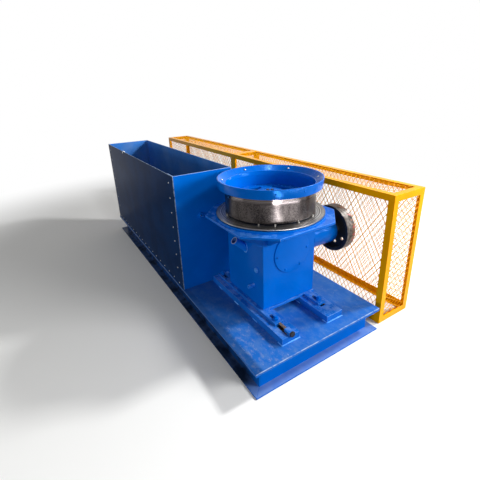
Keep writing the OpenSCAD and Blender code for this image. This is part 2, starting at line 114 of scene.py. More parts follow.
def at(points: Array) -> Array:
    """Turns machine millimetres, from the deck's front left corner on the floor, into the frame's metres.

    Args:
        points: (..., 3) array in millimetres, x forward, y towards the guard, z up.

    Returns:
        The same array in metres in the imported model's frame.
    """
    low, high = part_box("deck_plate")
    return np.asarray(points, float) * MM + np.array([high.x, low.y, 0.0])


def box_mm(node: str) -> Array:
    """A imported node's lowest and highest corners in machine millimetres."""
    return (np.array([tuple(corner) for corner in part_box(node)]) - at(np.zeros(3))) / MM


def around(centre: Pair, radius: float, z: float, degrees: Array) -> tuple[Array, Array]:
    """Places on a level circle, the centre plus r (cos a, sin a).

    Args:
        centre: X and Y of the centre.
        radius: The radius r.
        z: The height.
        degrees: The angle a of each place.

    Returns:
        The (n, 3) places and the (n, 3) level directions outwards.
    """
    a = np.radians(degrees)
    out = np.stack([np.cos(a), np.sin(a), 0 * a], 1)
    return radius * out + [*centre, z], out


def grid_faces(rows: int, cols: int, wrap_rows: bool = False, wrap_cols: bool = False) -> Array:
    """Quads between neighbouring points of a grid, stored row by row.

    Args:
        rows: Number of rows of points.
        cols: Number of points in a row.
        wrap_rows: Whether the last row joins the first.
        wrap_cols: Whether the last point of a row joins the first.

    Returns:
        (n, 4) array of point numbers.
    """
    row = np.arange(rows if wrap_rows else rows - 1)
    col = np.arange(cols if wrap_cols else cols - 1)
    a, b = np.meshgrid(row, col, indexing="ij")
    a2, b2 = (a + 1) % rows, (b + 1) % cols
    return np.stack([a * cols + b, a * cols + b2, a2 * cols + b2, a2 * cols + b], -1).reshape(-1, 4)


def rounded(outline: Array, radius: float | Array, steps: int = 4) -> Array:
    """Rounds the corners of a closed outline.

    Each corner becomes the quadratic curve (1-t)^2 A + 2t(1-t) P + t^2 B, where P is the corner and A and B
    lie on its two sides, a radius away or less than half of the side.

    Args:
        outline: (n, 2) corners.
        radius: Radius for all corners, or one for each.
        steps: Points on each curve less one.

    Returns:
        (n * (steps + 1), 2) points.
    """
    p = np.asarray(outline, float)
    r = np.broadcast_to(np.asarray(radius, float), len(p))[:, None]
    before, after = np.roll(p, 1, 0) - p, np.roll(p, -1, 0) - p
    lb = np.linalg.norm(before, axis=1, keepdims=True)
    la = np.linalg.norm(after, axis=1, keepdims=True)
    cut = np.minimum(np.maximum(r, 1e-4), 0.49 * np.minimum(lb, la))
    a, b = p + before / lb * cut, p + after / la * cut
    t = np.linspace(0, 1, steps + 1)[None, :, None]
    curve = (1 - t) ** 2 * a[:, None] + 2 * t * (1 - t) * p[:, None] + t**2 * b[:, None]
    return curve.reshape(-1, 2)


def turned(profile: Array, segments: int = 160) -> Shape:
    """Turns a closed outline of (radius, height) about Z: x = r cos u, y = r sin u, z = h.

    Args:
        profile: (n, 2) closed outline; points of radius 0 become poles.
        segments: Steps round the axis.

    Returns:
        Points (segments * n, 3) and quads.
    """
    u = np.linspace(0, 2 * np.pi, segments, endpoint=False)[:, None]
    r, h = profile[None, :, 0], profile[None, :, 1]
    points = np.stack([r * np.cos(u), r * np.sin(u), h + 0 * u], -1).reshape(-1, 3)
    return points, grid_faces(segments, len(profile), True, True)


def tube(path: Array, radius: Array, sides: int = 8) -> Shape:
    """Carries a circle along a path: P(u) + r(u) (cos v N(u) + sin v B(u)), closed to a point at both ends.

    Args:
        path: (n, 3) points.
        radius: (n,) radii.
        sides: Points round the circle.

    Returns:
        Points and quads.
    """
    path = np.vstack([path[:1], path, path[-1:]])
    radius = np.concatenate([[0.0], radius, [0.0]])
    tangent = np.gradient(path, axis=0)
    tangent /= np.linalg.norm(tangent, axis=1, keepdims=True) + 1e-12
    side = np.cross(tangent, [0.31, 0.17, 0.93])
    side /= np.linalg.norm(side, axis=1, keepdims=True)
    up = np.cross(side, tangent)
    v = np.linspace(0, 2 * np.pi, sides, endpoint=False)
    ring = np.cos(v)[None, :, None] * side[:, None] + np.sin(v)[None, :, None] * up[:, None]
    points = path[:, None] + radius[:, None, None] * ring
    return points.reshape(-1, 3), grid_faces(len(path), sides, False, True)


def scattered(shape: Shape, places: Array) -> Shape:
    """Repeats a shape at many places: every copy is M p for its own 4x4 matrix M.

    Args:
        shape: Points and faces of one copy.
        places: (m, 4, 4) matrices.

    Returns:
        Points and faces of all the copies.
    """
    points, faces = shape
    full = np.concatenate([points, np.ones((len(points), 1))], 1)
    every = np.einsum("mij,nj->mni", places, full)[..., :3]
    shift = np.arange(len(places))[:, None, None] * len(points)
    return every.reshape(-1, 3), (faces[None] + shift).reshape(-1, faces.shape[1])


def facing(points: Array, normals: Array, spin: float = 0.0) -> Array:
    """Matrices that put a shape at points with its Z along normals, turned about them by spin.

    Args:
        points: (m, 3) places.
        normals: (m, 3) or (3,) directions.
        spin: Angle in radians, grown by 1.7 from one copy to the next so that no two stand alike.

    Returns:
        (m, 4, 4) matrices.
    """
    points = np.atleast_2d(np.asarray(points, float))
    z = np.broadcast_to(np.asarray(normals, float), points.shape)
    z = z / np.linalg.norm(z, axis=1, keepdims=True)
    helper = np.where(np.abs(z[:, 2:]) > 0.9, [[1.0, 0, 0]], [[0, 0, 1.0]])
    x = np.cross(helper, z)
    x /= np.linalg.norm(x, axis=1, keepdims=True)
    y = np.cross(z, x)
    turn = spin + 1.7 * np.arange(len(points))[:, None] * (spin != 0)
    matrices = np.tile(np.eye(4), (len(points), 1, 1))
    matrices[:, :3, 0] = np.cos(turn) * x + np.sin(turn) * y
    matrices[:, :3, 1] = -np.sin(turn) * x + np.cos(turn) * y
    matrices[:, :3, 2] = z
    matrices[:, :3, 3] = points
    return matrices


def joined(*shapes: Shape) -> Shape:
    """Puts shapes with faces of the same number of corners into one.

    Args:
        shapes: Points and faces of each.

    Returns:
        Points and faces of all.
    """
    starts = np.cumsum([0] + [len(s[0]) for s in shapes[:-1]])
    faces = np.vstack([s[1] + n for s, n in zip(shapes, starts)])
    return np.vstack([s[0] for s in shapes]), faces


def hexagon(width: float, height: float, chamfer: float = 1.5, foot: float = 0.0) -> Shape:
    """A hexagon head or nut: a chamfered outline turned in six steps, on a washer if it has a foot.

    Args:
        width: Distance over the corners.
        height: Height.
        chamfer: Chamfer of the upper edge.
        foot: Height of the washer under it, a fifth wider than the head.

    Returns:
        Points and quads, standing on z = 0.
    """
    r, w = width / 2, 0.6 * width
    top = [[0, foot], [r, foot], [r, height - chamfer], [r - chamfer, height], [0, height]]
    head = turned(np.array(top), 6)
    if foot <= 0:
        return head
    washer = [[0, 0], [w, 0], [w, foot * 0.8], [w - foot * 0.3, foot], [0, foot]]
    return joined(head, turned(np.array(washer), 20))


def pan_head(width: float, height: float) -> Shape:
    """A domed screw head: radius w/2 cos t and height h sin t, turned in twelve steps.

    Args:
        width: Diameter.
        height: Height.

    Returns:
        Points and quads, standing on z = 0.
    """
    t = np.linspace(0, np.pi / 2, 5)
    dome = np.stack([width / 2 * np.cos(t), height * np.sin(t)], 1)
    return turned(np.vstack([[[0, 0]], dome]), 12)


def bead(path: Array, size: float, pitch: float = 9.0) -> Shape:
    """A weld bead along a line: a tube whose radius swells by a fifth at every ripple.

    Args:
        path: (n, 3) corners of the line in millimetres.
        size: Radius of the bead.
        pitch: Distance between ripples.

    Returns:
        Points and quads in millimetres.
    """
    path = np.asarray(path, float)
    steps = np.linalg.norm(np.diff(path, axis=0), axis=1)
    run = np.concatenate([[0], np.cumsum(steps)])
    s = np.linspace(0, run[-1], max(int(run[-1] / pitch * 4), 8))
    line = np.stack([np.interp(s, run, path[:, k]) for k in range(3)], 1)
    return tube(line, size * (1 + 0.2 * np.cos(2 * np.pi * s / pitch) + 0.08 * np.sin(s * 0.37)), 8)


# Materials


def linear(colour: str) -> tuple[float, float, float, float]:
    """Turns an sRGB hex colour into the linear values that a shader takes.

    Args:
        colour: Six hex digits.

    Returns:
        Red, green, blue and 1.
    """
    c = np.array([int(colour[i : i + 2], 16) for i in (0, 2, 4)]) / 255
    rgb = np.where(c <= 0.04045, c / 12.92, ((c + 0.055) / 1.055) ** 2.4)
    return (*(float(v) for v in rgb), 1.0)


def add(tree: bpy.types.NodeTree, kind: str, inputs: dict | None = None, **settings) -> Node:
    """Adds a node with its settings and links.

    Args:
        tree: The material's node tree.
        kind: Type of the node without its common start.
        inputs: Value or output socket for each input, by name or number.
        settings: Attributes of the node.

    Returns:
        The node.
    """
    node = tree.nodes.new("ShaderNode" + kind)
    for name, value in settings.items():
        setattr(node, name, value)
    for name, value in (inputs or {}).items():
        if isinstance(value, Socket):
            tree.links.new(value, node.inputs[name])
        else:
            node.inputs[name].default_value = value
    return node


def seen(tree: bpy.types.NodeTree) -> Socket:
    """Tells the rays that show the background from those that carry its light.

    Args:
        tree: The node tree of a material or world.

    Returns:
        1 for camera, glossy and transmission rays, else 0.
    """
    path = add(tree, "LightPath").outputs
    shiny = add(tree, "Math", {0: path["Is Glossy Ray"], 1: path["Is Transmission Ray"]}, operation="MAXIMUM")
    both = add(tree, "Math", {0: path["Is Camera Ray"], 1: shiny.outputs[0]}, operation="MAXIMUM")
    return both.outputs[0]


class Do(Enum):
    """A step of a finish: the node's type, its settings, its inputs in order, and its output."""

    ADD = ("Math", {"operation": "ADD"}, (0, 1), 0)
    SUBTRACT = ("Math", {"operation": "SUBTRACT"}, (0, 1), 0)
    MULTIPLY = ("Math", {"operation": "MULTIPLY"}, (0, 1), 0)
    SCALE_ADD = ("Math", {"operation": "MULTIPLY_ADD"}, (0, 1, 2), 0)
    MAXIMUM = ("Math", {"operation": "MAXIMUM"}, (0, 1), 0)
    ABSOLUTE = ("Math", {"operation": "ABSOLUTE"}, (0,), 0)
    MIX = ("Mix", {"data_type": "RGBA"}, (0, 6, 7), 2)
    MASK = ("MapRange", {"interpolation_type": "SMOOTHSTEP"}, (0, 1, 2), 0)
    UNSIGNED = ("VectorMath", {"operation": "ABSOLUTE"}, (0,), 0)
    OFFSET = ("VectorMath", {"operation": "SUBTRACT"}, (0, 1), 0)
    KEEP_AXES = ("VectorMath", {"operation": "MULTIPLY"}, (0, 1), 0)
    STRETCH = ("VectorMath", {"operation": "SCALE"}, (0, "Scale"), 0)
    LENGTH = ("VectorMath", {"operation": "LENGTH"}, (0,), "Value")
    DISTANCE = ("VectorMath", {"operation": "DISTANCE"}, (0, 1), "Value")
    DOT = ("VectorMath", {"operation": "DOT_PRODUCT"}, (0, 1), "Value")


@dataclass(frozen=True)
class Pattern:
    """Noise in patches size_mm wide: octaves, stretch along each axis, strength of the finer octaves.

    span holds the values of the noise, which runs from about 0.25 to 0.75, where a patch begins and is full.
    """

    size_mm: float
    detail: float = 3.0
    stretch: tuple[float, float, float] = (1, 1, 1)
    rough: float = 0.55
    span: Pair = (0.35, 0.65)


class Surface:
    """A new material with its shader, its coordinates in metres, and the steps that all finishes share."""

    def __init__(self, name: str) -> None:
        """Makes the material with nothing in it but its shader and output.

        Args:
            name: The material's name.
        """
        self.material = bpy.data.materials.new(name)
        self.material.use_nodes = True
        self.tree = self.material.node_tree
        self.tree.nodes.clear()
        self.shader = self.add("BsdfPrincipled")
        self.output = self.add("OutputMaterial", {0: self.shader.outputs[0]})
        self.place = self.add("TexCoord").outputs["Object"]

    def add(self, kind: str, inputs: dict | None = None, **settings) -> Node:
        """Adds a node to this material."""
        return add(self.tree, kind, inputs, **settings)

    def step(self, step: Do, *inputs: object) -> Socket:
        """Adds one step of the finish. A step of two inputs that is given more takes them in turn.

        Args:
            step: What it does.
            inputs: A number, vector, socket or hex colour for each of its inputs.

        Returns:
            The step's output.
        """
        kind, settings, keys, output = step.value
        if len(inputs) > len(keys):
            inputs = (self.step(step, *inputs[:-1]), inputs[-1])
        values = (linear(v) if isinstance(v, str) else v for v in inputs)
        return self.add(kind, dict(zip(keys, values)), **settings).outputs[output]

    def laid(self, colour: Socket | str, other: Socket | str, *shares: Socket | float) -> Socket:
        """Lays another colour over a colour.

        Args:
            colour: The colour below.
            other: The colour on top.
            shares: How much of it shows, as the product of these.

        Returns:
            The mixed colour.
        """
        share = self.step(Do.MULTIPLY, *shares) if len(shares) > 1 else shares[0]
        return self.step(Do.MIX, share, colour, other)

    def noise(self, pattern: Pattern, where: Socket | None = None) -> Socket:
        """Noise of a pattern.

        Args:
            pattern: Its numbers.
            where: Coordinates, or None for the object's own.

        Returns:
            The value, about 0.25 to 0.75.
        """
        scale = tuple(1 / MM / pattern.size_mm / s for s in pattern.stretch)
        moved = self.add("Mapping", {"Vector": where or self.place, "Scale": scale}).outputs[0]
        inputs = {"Vector": moved, "Scale": 1.0, "Detail": pattern.detail, "Roughness": pattern.rough}
        return self.add("TexNoise", inputs).outputs["Fac"]

    def patches(self, pattern: Pattern) -> Socket:
        """The patches of a pattern: 1 inside them and 0 between them."""
        return self.step(Do.MASK, self.noise(pattern), *pattern.span)

    def near(self, place: Socket, edge: float, reach: Pair) -> Socket:
        """A smooth step along an axis: 0 at the first and 1 at the second length of reach past an edge."""
        return self.step(Do.MASK, place, edge + reach[0] * MM, edge + reach[1] * MM)

    def axes(self) -> tuple[Socket, ...]:
        """X, Y and Z of the place on the object."""
        return tuple(self.add("SeparateXYZ", {0: self.place}).outputs)

    def from_axis(self, node: str, across: tuple[int, int, int]) -> Socket:
        """Distance from the axis of a round node.

        Args:
            node: The node, whose box has the axis in its middle.
            across: 1 for each of X, Y and Z that the distance is measured along, else 0.

        Returns:
            The distance in metres.
        """
        low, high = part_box(node)
        away = self.step(Do.OFFSET, self.place, tuple((low + high) / 2))
        return self.step(Do.LENGTH, self.step(Do.KEEP_AXES, away, across))

    def level(self, full: float = 0.95) -> Socket:
        """How level the surface lies.

        Args:
            full: Rise of the normal, from 0 on a wall to 1 on a floor, at which it counts as level.

        Returns:
            0 on walls and slopes of 60 degrees or more, 1 where level.
        """
        normal = self.add("NewGeometry").outputs["Normal"]
        rise = self.step(Do.MAXIMUM, self.add("SeparateXYZ", {0: normal}).outputs[2], 0.0)
        return self.step(Do.MASK, rise, 0.5, full)

    def corners(self) -> Socket:
        """Finds the rounded edges of a box by the longest part of the normal, the cosine of its lean.

        Returns:
            1 where the normal leans 22 to 40 degrees from its nearest axis, 0 under 14 and over 44 degrees.
        """
        normal = self.step(Do.UNSIGNED, self.add("NewGeometry").outputs["Normal"])
        most = self.step(Do.MAXIMUM, *self.add("SeparateXYZ", {0: normal}).outputs)
        leaning, between = self.step(Do.MASK, most, 0.97, 0.93), self.step(Do.MASK, most, 0.72, 0.76)
        return self.step(Do.MULTIPLY, leaning, between)

    def bump(self, height: Socket, depth_mm: float) -> None:
        """Sets the shader's bump on top of any bump set before.

        Args:
            height: The height, 0 to 1.
            depth_mm: How deep 1 is in millimetres.
        """
        inputs = {"Height": height, "Distance": depth_mm * MM, "Strength": 1.0}
        old = self.shader.inputs["Normal"].links
        if old:
            inputs["Normal"] = old[0].from_socket
        self.set(Normal=self.add("Bump", inputs).outputs[0])

    def set(self, **values) -> None:
        """Sets the shader's sockets.

        Args:
            values: A number, colour or socket for each, under its name with underscores for spaces.
        """
        for name, value in values.items():
            socket = self.shader.inputs[name.replace("_", " ")]
            if isinstance(value, Socket):
                self.tree.links.new(value, socket)
            else:
                socket.default_value = value


# In the finishes, a pair named for a place holds two lengths in millimetres past an edge of a node, towards
# growing X, Y or Z: where a mark begins and where it is full.
TOP_EDGE: Pair = (-3, -1)


@dataclass(frozen=True)
class GlossEnamel:
    """Alkyd machine enamel sprayed on steel: even colour, soft gloss, orange peel, dust where it faces up."""

    name: str
    colour: str
    deep: str
    dust: str
    dust_share: float
    roughness: float
    peel_mm: float = 0.12
    shine: float = 0.12
    tint: str = "3d9cff"
    # Share of the painted highlight laid on rounded edges.
    edge: float = 0.0
    # Pale tone of the painted highlight on rounded edges; the tank's walls and lining also use it for their
    # rubbed upper edges.
    pale: str = "b4d4ff"
    ior: float = 1.5
    dulled: float = 0.25
    clouds: Pattern = Pattern(240, 4)
    dusting: Pattern = Pattern(60, 5, rough=0.65, span=(0.42, 0.66))
    # Orange peel is about 2 mm wide, and is drawn 14 mm wide so that it shows in the highlights.
    peel: Pattern = Pattern(14, 2)
    chips: Pattern = Pattern(30, 5, span=(0.30, 0.60))

    def paint(self) -> tuple[Surface, Socket]:
        """The enamel: clouds between two tones, dust that dulls it, a painted highlight on rounded edges, and
        orange peel.

        Returns:
            The surface and its colour, which isn't set yet.
        """
        s = Surface(self.name)
        colour = s.laid(self.deep, self.colour, s.patches(self.clouds))
        dusty = s.step(Do.MULTIPLY, s.patches(self.dusting), s.level())
        colour = s.laid(colour, self.dust, dusty, self.dust_share)
        # Painted highlight: a pale tone on the rounded edges of boxes, where glossy paint would catch light.
        if self.edge:
            colour = s.laid(colour, self.pale, s.corners(), self.edge)
        rough = s.step(Do.SCALE_ADD, dusty, self.dulled, self.roughness)
        s.set(Roughness=rough, IOR=self.ior, Specular_IOR_Level=self.shine, Specular_Tint=linear(self.tint))
        s.bump(s.noise(self.peel), self.peel_mm)
        return s, colour

    def material(self) -> Material:
        """The finished material.

        Returns:
            The material.
        """
        s, colour = self.paint()
        s.set(Base_Color=colour)
        return s.material


@dataclass(frozen=True)
class DeckEnamel(GlossEnamel):
    """The same enamel on a deck that is walked on: dull, with scuffs, dust and a bare bright front edge."""

    scuff: str = "b9b6b0"
    scratch: str = "d5d9e0"
    bare: str = "c9d6e6"
    # Dark tone of the painted shade.
    painted_shade: str = "142338"
    scuffs: Pattern = Pattern(26, 8, (1.5, 0.9, 1), 0.78, (0.50, 0.68))
    scratches: Pattern = Pattern(18, 3, (5, 0.6, 1), 0.7, (0.69, 0.74))
    walked_x: Pair = (-900, -100)
    walked_y: Pair = (500, 50)
    least_scuffed: float = 0.08
    more_scuffed: float = 0.26
    # Where the painted shadow of the gearbox on the deck begins and is full: behind the gearbox's front, off the
    # near side.
    gearbox_shadow_x: Pair = (-360, -460)
    gearbox_shadow_y: Pair = (300, 220)
    # A darker strip along the deck's left edge: painted shade and dirt.
    strip_y: Pair = (65, 35)
    edge_x: Pair = (-6, -2)
    edge_z: Pair = (-5, -1)

    def material(self) -> Material:
        """The finished material: scuffs, most in the front left corner, scratches, a painted shadow of the
        gearbox, a darker strip of painted shade and dirt along the left edge, bare front edge.

        Returns:
            The material.
        """
        s, colour = self.paint()
        low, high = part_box("deck_plate")
        x, y, z = s.axes()
        top = s.level(0.9)
        front = s.near(x, high.x, self.walked_x)
        share = s.step(Do.SCALE_ADD, s.near(y, low.y, self.walked_y), self.more_scuffed, self.least_scuffed)
        colour = s.laid(colour, self.scuff, s.patches(self.scuffs), front, top, share)
        colour = s.laid(colour, self.scratch, s.patches(self.scratches), top, 0.3)
        # Painted shadow of the gearbox behind its front, and a strip of painted shade and dirt along the left
        # edge, in one dark tone.
        gearbox_shadow = s.step(Do.MULTIPLY, s.near(x, high.x, self.gearbox_shadow_x), s.near(y, low.y, self.gearbox_shadow_y), 0.35)
        strip = s.step(Do.MULTIPLY, s.near(y, low.y, self.strip_y), top, 0.5)
        colour = s.laid(colour, self.painted_shade, s.step(Do.MAXIMUM, gearbox_shadow, strip))
        edge = s.step(Do.MULTIPLY, s.near(x, high.x, self.edge_x), s.near(z, high.z, self.edge_z))
        s.set(Base_Color=s.laid(colour, self.bare, edge, s.patches(self.chips), 0.55))
        return s.material


@dataclass(frozen=True)
class BaseEnamel(GlossEnamel):
    """The same enamel low on the base: a film of dust on the flanges, painted shade on the near side."""

    painted_shade: str = "101c30"
    film: Pattern = Pattern(70, 4)
    shade_mottle: Pattern = Pattern(90, 5)
    web_y: Pair = (75, 65)
    front_x: Pair = (-30, -140)

    def material(self) -> Material:
        """The finished material: the painted shade lies on the web of the left channel and fades towards its
        front.

        Returns:
            The material.
        """
        s, colour = self.paint()
        film = s.step(Do.SCALE_ADD, s.patches(self.film), 0.15, 0.40)
        colour = s.laid(colour, self.dust, film, s.level())
        # Painted shade: the web of the near channel is darkened in patches, fading out near the front.
        x, y, _ = s.axes()
        web = s.near(y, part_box("base_side_left")[0].y, self.web_y)
        behind = s.near(x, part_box("base_front_beam")[1].x, self.front_x)
        share = s.step(Do.SCALE_ADD, s.patches(self.shade_mottle), 0.25, 0.72)
        s.set(Base_Color=s.laid(colour, self.painted_shade, web, behind, share))
        return s.material


@dataclass(frozen=True)
class WallEnamel(GlossEnamel):
    """The same enamel on a wall of the tank, rubbed pale along its upper edge."""

    def material(self) -> Material:
        """The finished material.

        Returns:
            The material.
        """
        s, colour = self.paint()
        rubbed = s.near(s.axes()[2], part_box("tank_front_wall")[1].z, TOP_EDGE)
        s.set(Base_Color=s.laid(colour, self.pale, rubbed, 0.5))
        return s.material


@dataclass(frozen=True)
class PanelEnamel(GlossEnamel):
    """Dark navy enamel, its darkness in part painted shade, on a thin rolled sheet: glossy, streaked, with slow
    waves that bend what it mirrors.
    """

    streak: str = "1c2c40"
    rub: str = "b4c8e0"
    streaks: Pattern = Pattern(40, 4, (1, 1, 14), 0.6, (0.5, 0.72))
    waves: Pattern = Pattern(520, 1, (1.4, 1, 0.8))
    wave_mm: float = 3.0
    front_x: Pair = (-4, -1)

    def material(self) -> Material:
        """The finished material: dried lubricant in streaks down the sheet, upper and front edge rubbed pale.

        Returns:
            The material.
        """
        s, colour = self.paint()
        colour = s.laid(colour, self.streak, s.patches(self.streaks), 0.22)
        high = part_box("tank_side_panel")[1]
        x, _, z = s.axes()
        edge = s.step(Do.MAXIMUM, s.near(z, high.z, TOP_EDGE), s.near(x, high.x, self.front_x))
        s.set(Base_Color=s.laid(colour, self.rub, edge, s.patches(self.chips), 0.6))
        s.bump(s.noise(self.waves), self.wave_mm)
        return s.material


@dataclass(frozen=True)
class TankLining(GlossEnamel):
    """Enamel inside a tank that holds lubricant: chalky in patches, with a painted shadow of the near wall over
    its lower part.
    """

    chalk: str = "8fa3bd"
    # Dark tone of the painted shadow on the lower walls.
    shadow_tone: str = "03143a"
    outer: str = "0064c8"
    chalking: Pattern = Pattern(260, 5, span=(0.40, 0.66))
    # Height, as a share of the wall, and reach of the painted shadow's upper edge.
    shadow_line_share: float = 0.62
    shadow_line_z: Pair = (-20, 30)
    shadow_wander: Pattern = Pattern(300, 4)
    shadow_wander_mm: float = 160.0
    skin: float = 1.5
    skin_end: float = 0.5

    def material(self) -> Material:
        """The finished material: the edge of the painted shadow wanders by 40 mm up and down, and the outside is
        plain blue.

        Returns:
            The material.
        """
        s, colour = self.paint()
        low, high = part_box("tank_back_wall")
        x, y, z = s.axes()
        # Painted shadow of the near wall: below a wandering line the inner walls are darkened.
        reach = self.shadow_wander_mm * MM
        height = s.step(Do.ADD, z, s.step(Do.SCALE_ADD, s.noise(self.shadow_wander), reach, -reach / 2))
        over = s.near(height, low.z + self.shadow_line_share * (high.z - low.z), self.shadow_line_z)
        colour = s.laid(colour, self.chalk, s.patches(self.chalking), 0.22)
        colour = s.laid(s.laid(colour, self.shadow_tone, 0.2), colour, over)
        back = s.near(y, high.y, (-self.skin, -self.skin_end))
        rear = s.near(x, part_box("tank_end_wall")[0].x, (self.skin, self.skin_end))
        colour = s.laid(colour, self.outer, s.step(Do.MAXIMUM, back, rear))
        s.set(Base_Color=s.laid(colour, self.pale, s.near(z, high.z, TOP_EDGE), 0.4))
        return s.material


@dataclass(frozen=True)
class RailEnamel(GlossEnamel):
    """Enamel on the slide rails, worn to rusty steel on the walls and floor of the slot."""

    half_slot: float = 34.5
    wall: float = 21.5
    limit: float = 0.5
    deep_z: Pair = (-2, -4)
    steel: tuple[str, str] = ("4d443d", "a3907c")
    rusting: Pattern = Pattern(26, 5, rough=0.7, span=(0.40, 0.62))

    def material(self) -> Material:
        """The finished material: bare steel where a point lies inside the slot of either rail.

        Returns:
            The material.
        """
        s, colour = self.paint()
        x, y, z = s.axes()
        inside = []
        for node in ("slide_rail_left", "slide_rail_right"):
            low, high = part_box(node)
            off = s.step(Do.ABSOLUTE, s.step(Do.SUBTRACT, y, (low.y + high.y) / 2))
            inside.append(s.near(off, 0.0, (self.half_slot, self.half_slot - self.limit)))
        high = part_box("slide_rail_right")[1]
        deep = s.near(z, high.z, self.deep_z)
        behind = s.near(x, high.x, (-self.wall, -self.wall - self.limit))
        rust = s.laid(*self.steel, s.patches(self.rusting))
        s.set(Base_Color=s.laid(colour, rust, s.step(Do.MAXIMUM, *inside), deep, behind))
        return s.material


@dataclass(frozen=True)
class BowlEnamel(GlossEnamel):
    """Enamel of the bowl's wall, with near-black painted shade in the groove under the band."""

    groove_shade: str = "0c0c0e"
    groove_z: Pair = (1, -1)

    def material(self) -> Material:
        """The finished material: painted shade up to the foot of the band.

        Returns:
            The material.
        """
        s, colour = self.paint()
        # Painted shade: the recess below the band is darkened to near black.
        groove = s.near(s.axes()[2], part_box("block_band")[0].z, self.groove_z)
        s.set(Base_Color=s.laid(colour, self.groove_shade, groove))
        return s.material


@dataclass(frozen=True)
class PipeEnamel(GlossEnamel):
    """Enamel on the filler pipe, with a painted highlight on its lip and a dull inside. Sizes in millimetres."""

    joint: tuple[float, float, float] = (-559.0, 307.0, 614.0)
    rise: float = math.radians(41)
    length: float = 110.0
    bore: float = 20.5
    # Pale tone of the painted highlight on the pipe's lip.
    lip_highlight: str = "8c9ac8"
    inside: str = "456cb0"

    def material(self) -> Material:
        """The finished material: the painted highlight on the lip is the last 2 mm along the axis, the inside
        lies within the bore.

        Returns:
            The material.
        """
        s, colour = self.paint()
        axis = (0.0, -math.cos(self.rise), math.sin(self.rise))
        start = tuple(float(v) for v in at(np.array(self.joint)))
        away = s.step(Do.OFFSET, s.place, start)
        along = s.step(Do.DOT, away, axis)
        apart = s.step(Do.DISTANCE, away, s.step(Do.STRETCH, axis, along))
        colour = s.laid(colour, self.inside, s.near(apart, 0.0, (self.bore + 1, self.bore)))
        # Painted highlight: a pale band round the pipe's mouth.
        lip_highlight = s.near(along, 0.0, (self.length - 3, self.length - 1.5))
        s.set(Base_Color=s.laid(colour, self.lip_highlight, lip_highlight))
        return s.material


@dataclass(frozen=True)
class TurnedSteel:
    """Hardened steel ring finished on a lathe: fine level lines, polished above, dulled by wire below."""

    name: str = "turned_steel"
    # These tones, and the polished ones below, are darker than bare steel: partly wear, partly a painted
    # reflection of a dark room.
    light: str = "4e4948"
    dark: str = "201d1e"
    stain: str = "2e1f18"
    polished: tuple[str, str] = ("302c2d", "605a5a")
    # The real lines are 0.3 mm apart, and are drawn 4 mm apart so that they show.
    lathe: Pattern = Pattern(4, 2, (400, 400, 1), 0.6, (0.3, 0.7))
    mottling: Pattern = Pattern(7, 4, rough=0.7, span=(0.38, 0.62))
    clouds: Pattern = Pattern(60, 3, (1, 1, 2))
    runs: Pattern = Pattern(10, 3, (1, 1, 60), 0.65, (0.54, 0.60))
    worked_z: Pair = (-40, -46)
    stained_y: Pair = (-20, 120)
    anisotropy: float = 0.7

    def material(self) -> Material:
        """The finished material: mottled where the wire runs, with runs of brown on the guard's side.

        Returns:
            The material.
        """
        s = Surface(self.name)
        low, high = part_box("block_band")
        _, y, z = s.axes()
        worked = s.near(z, high.z, self.worked_z)
        lines = s.noise(self.lathe)
        mottle = s.noise(self.mottling)
        shade = s.step(Do.SCALE_ADD, mottle, 0.6, s.step(Do.MULTIPLY, s.noise(self.clouds), 0.4))
        colour = s.laid(self.dark, self.light, s.step(Do.MASK, shade, *self.mottling.span))
        polished = s.laid(*self.polished, s.step(Do.MASK, lines, *self.lathe.span))
        colour = s.laid(polished, colour, worked)
        side = s.near(y, (low.y + high.y) / 2, self.stained_y)
        colour = s.laid(colour, self.stain, s.patches(self.runs), side, 0.9)
        rough = s.step(Do.SCALE_ADD, s.step(Do.MULTIPLY, worked, mottle), 0.36, 0.16)
        s.set(Base_Color=colour, Metallic=1.0, Roughness=rough, Anisotropic=self.anisotropy)
        # The lines spread what the band mirrors up and down, so the highlight's tangent stands upright.
        s.set(Tangent=s.add("CombineXYZ", {2: 1.0}).outputs[0])
        s.bump(lines, 0.06)
        s.bump(s.step(Do.MULTIPLY, mottle, worked), 0.25)
        return s.material


@dataclass(frozen=True)
class RingWornSteel:
    """Bare steel worn in circles by wire: concentric streaks, brown film of dried lubricant."""

    name: str
    axis_node: str
    light: str = "ecebea"
    dark: str = "2c2a2a"
    film: str = "3c3029"
    film_share: float = 0.3
    rings: Pattern = Pattern(7, 3, span=(0.36, 0.66))
    smears: Pattern = Pattern(80, 4, span=(0.38, 0.62))
    ring_mm: float = 0.2

    def material(self) -> Material:
        """The finished material: the streaks are noise of the distance to the axis.

        Returns:
            The material.
        """
        s = Surface(self.name)
        radius = s.from_axis(self.axis_node, (1, 1, 0))
        rings = s.noise(self.rings, s.add("CombineXYZ", {0: radius}).outputs[0])
        smears = s.noise(self.smears)
        colour = s.laid(self.dark, self.light, s.step(Do.MASK, rings, *self.rings.span))
        colour = s.laid(colour, self.film, s.step(Do.MASK, smears, *self.smears.span), self.film_share)
        s.set(Base_Color=colour, Metallic=1.0, Roughness=s.step(Do.SCALE_ADD, smears, 0.2, 0.24))
        s.bump(rings, self.ring_mm)
        return s.material


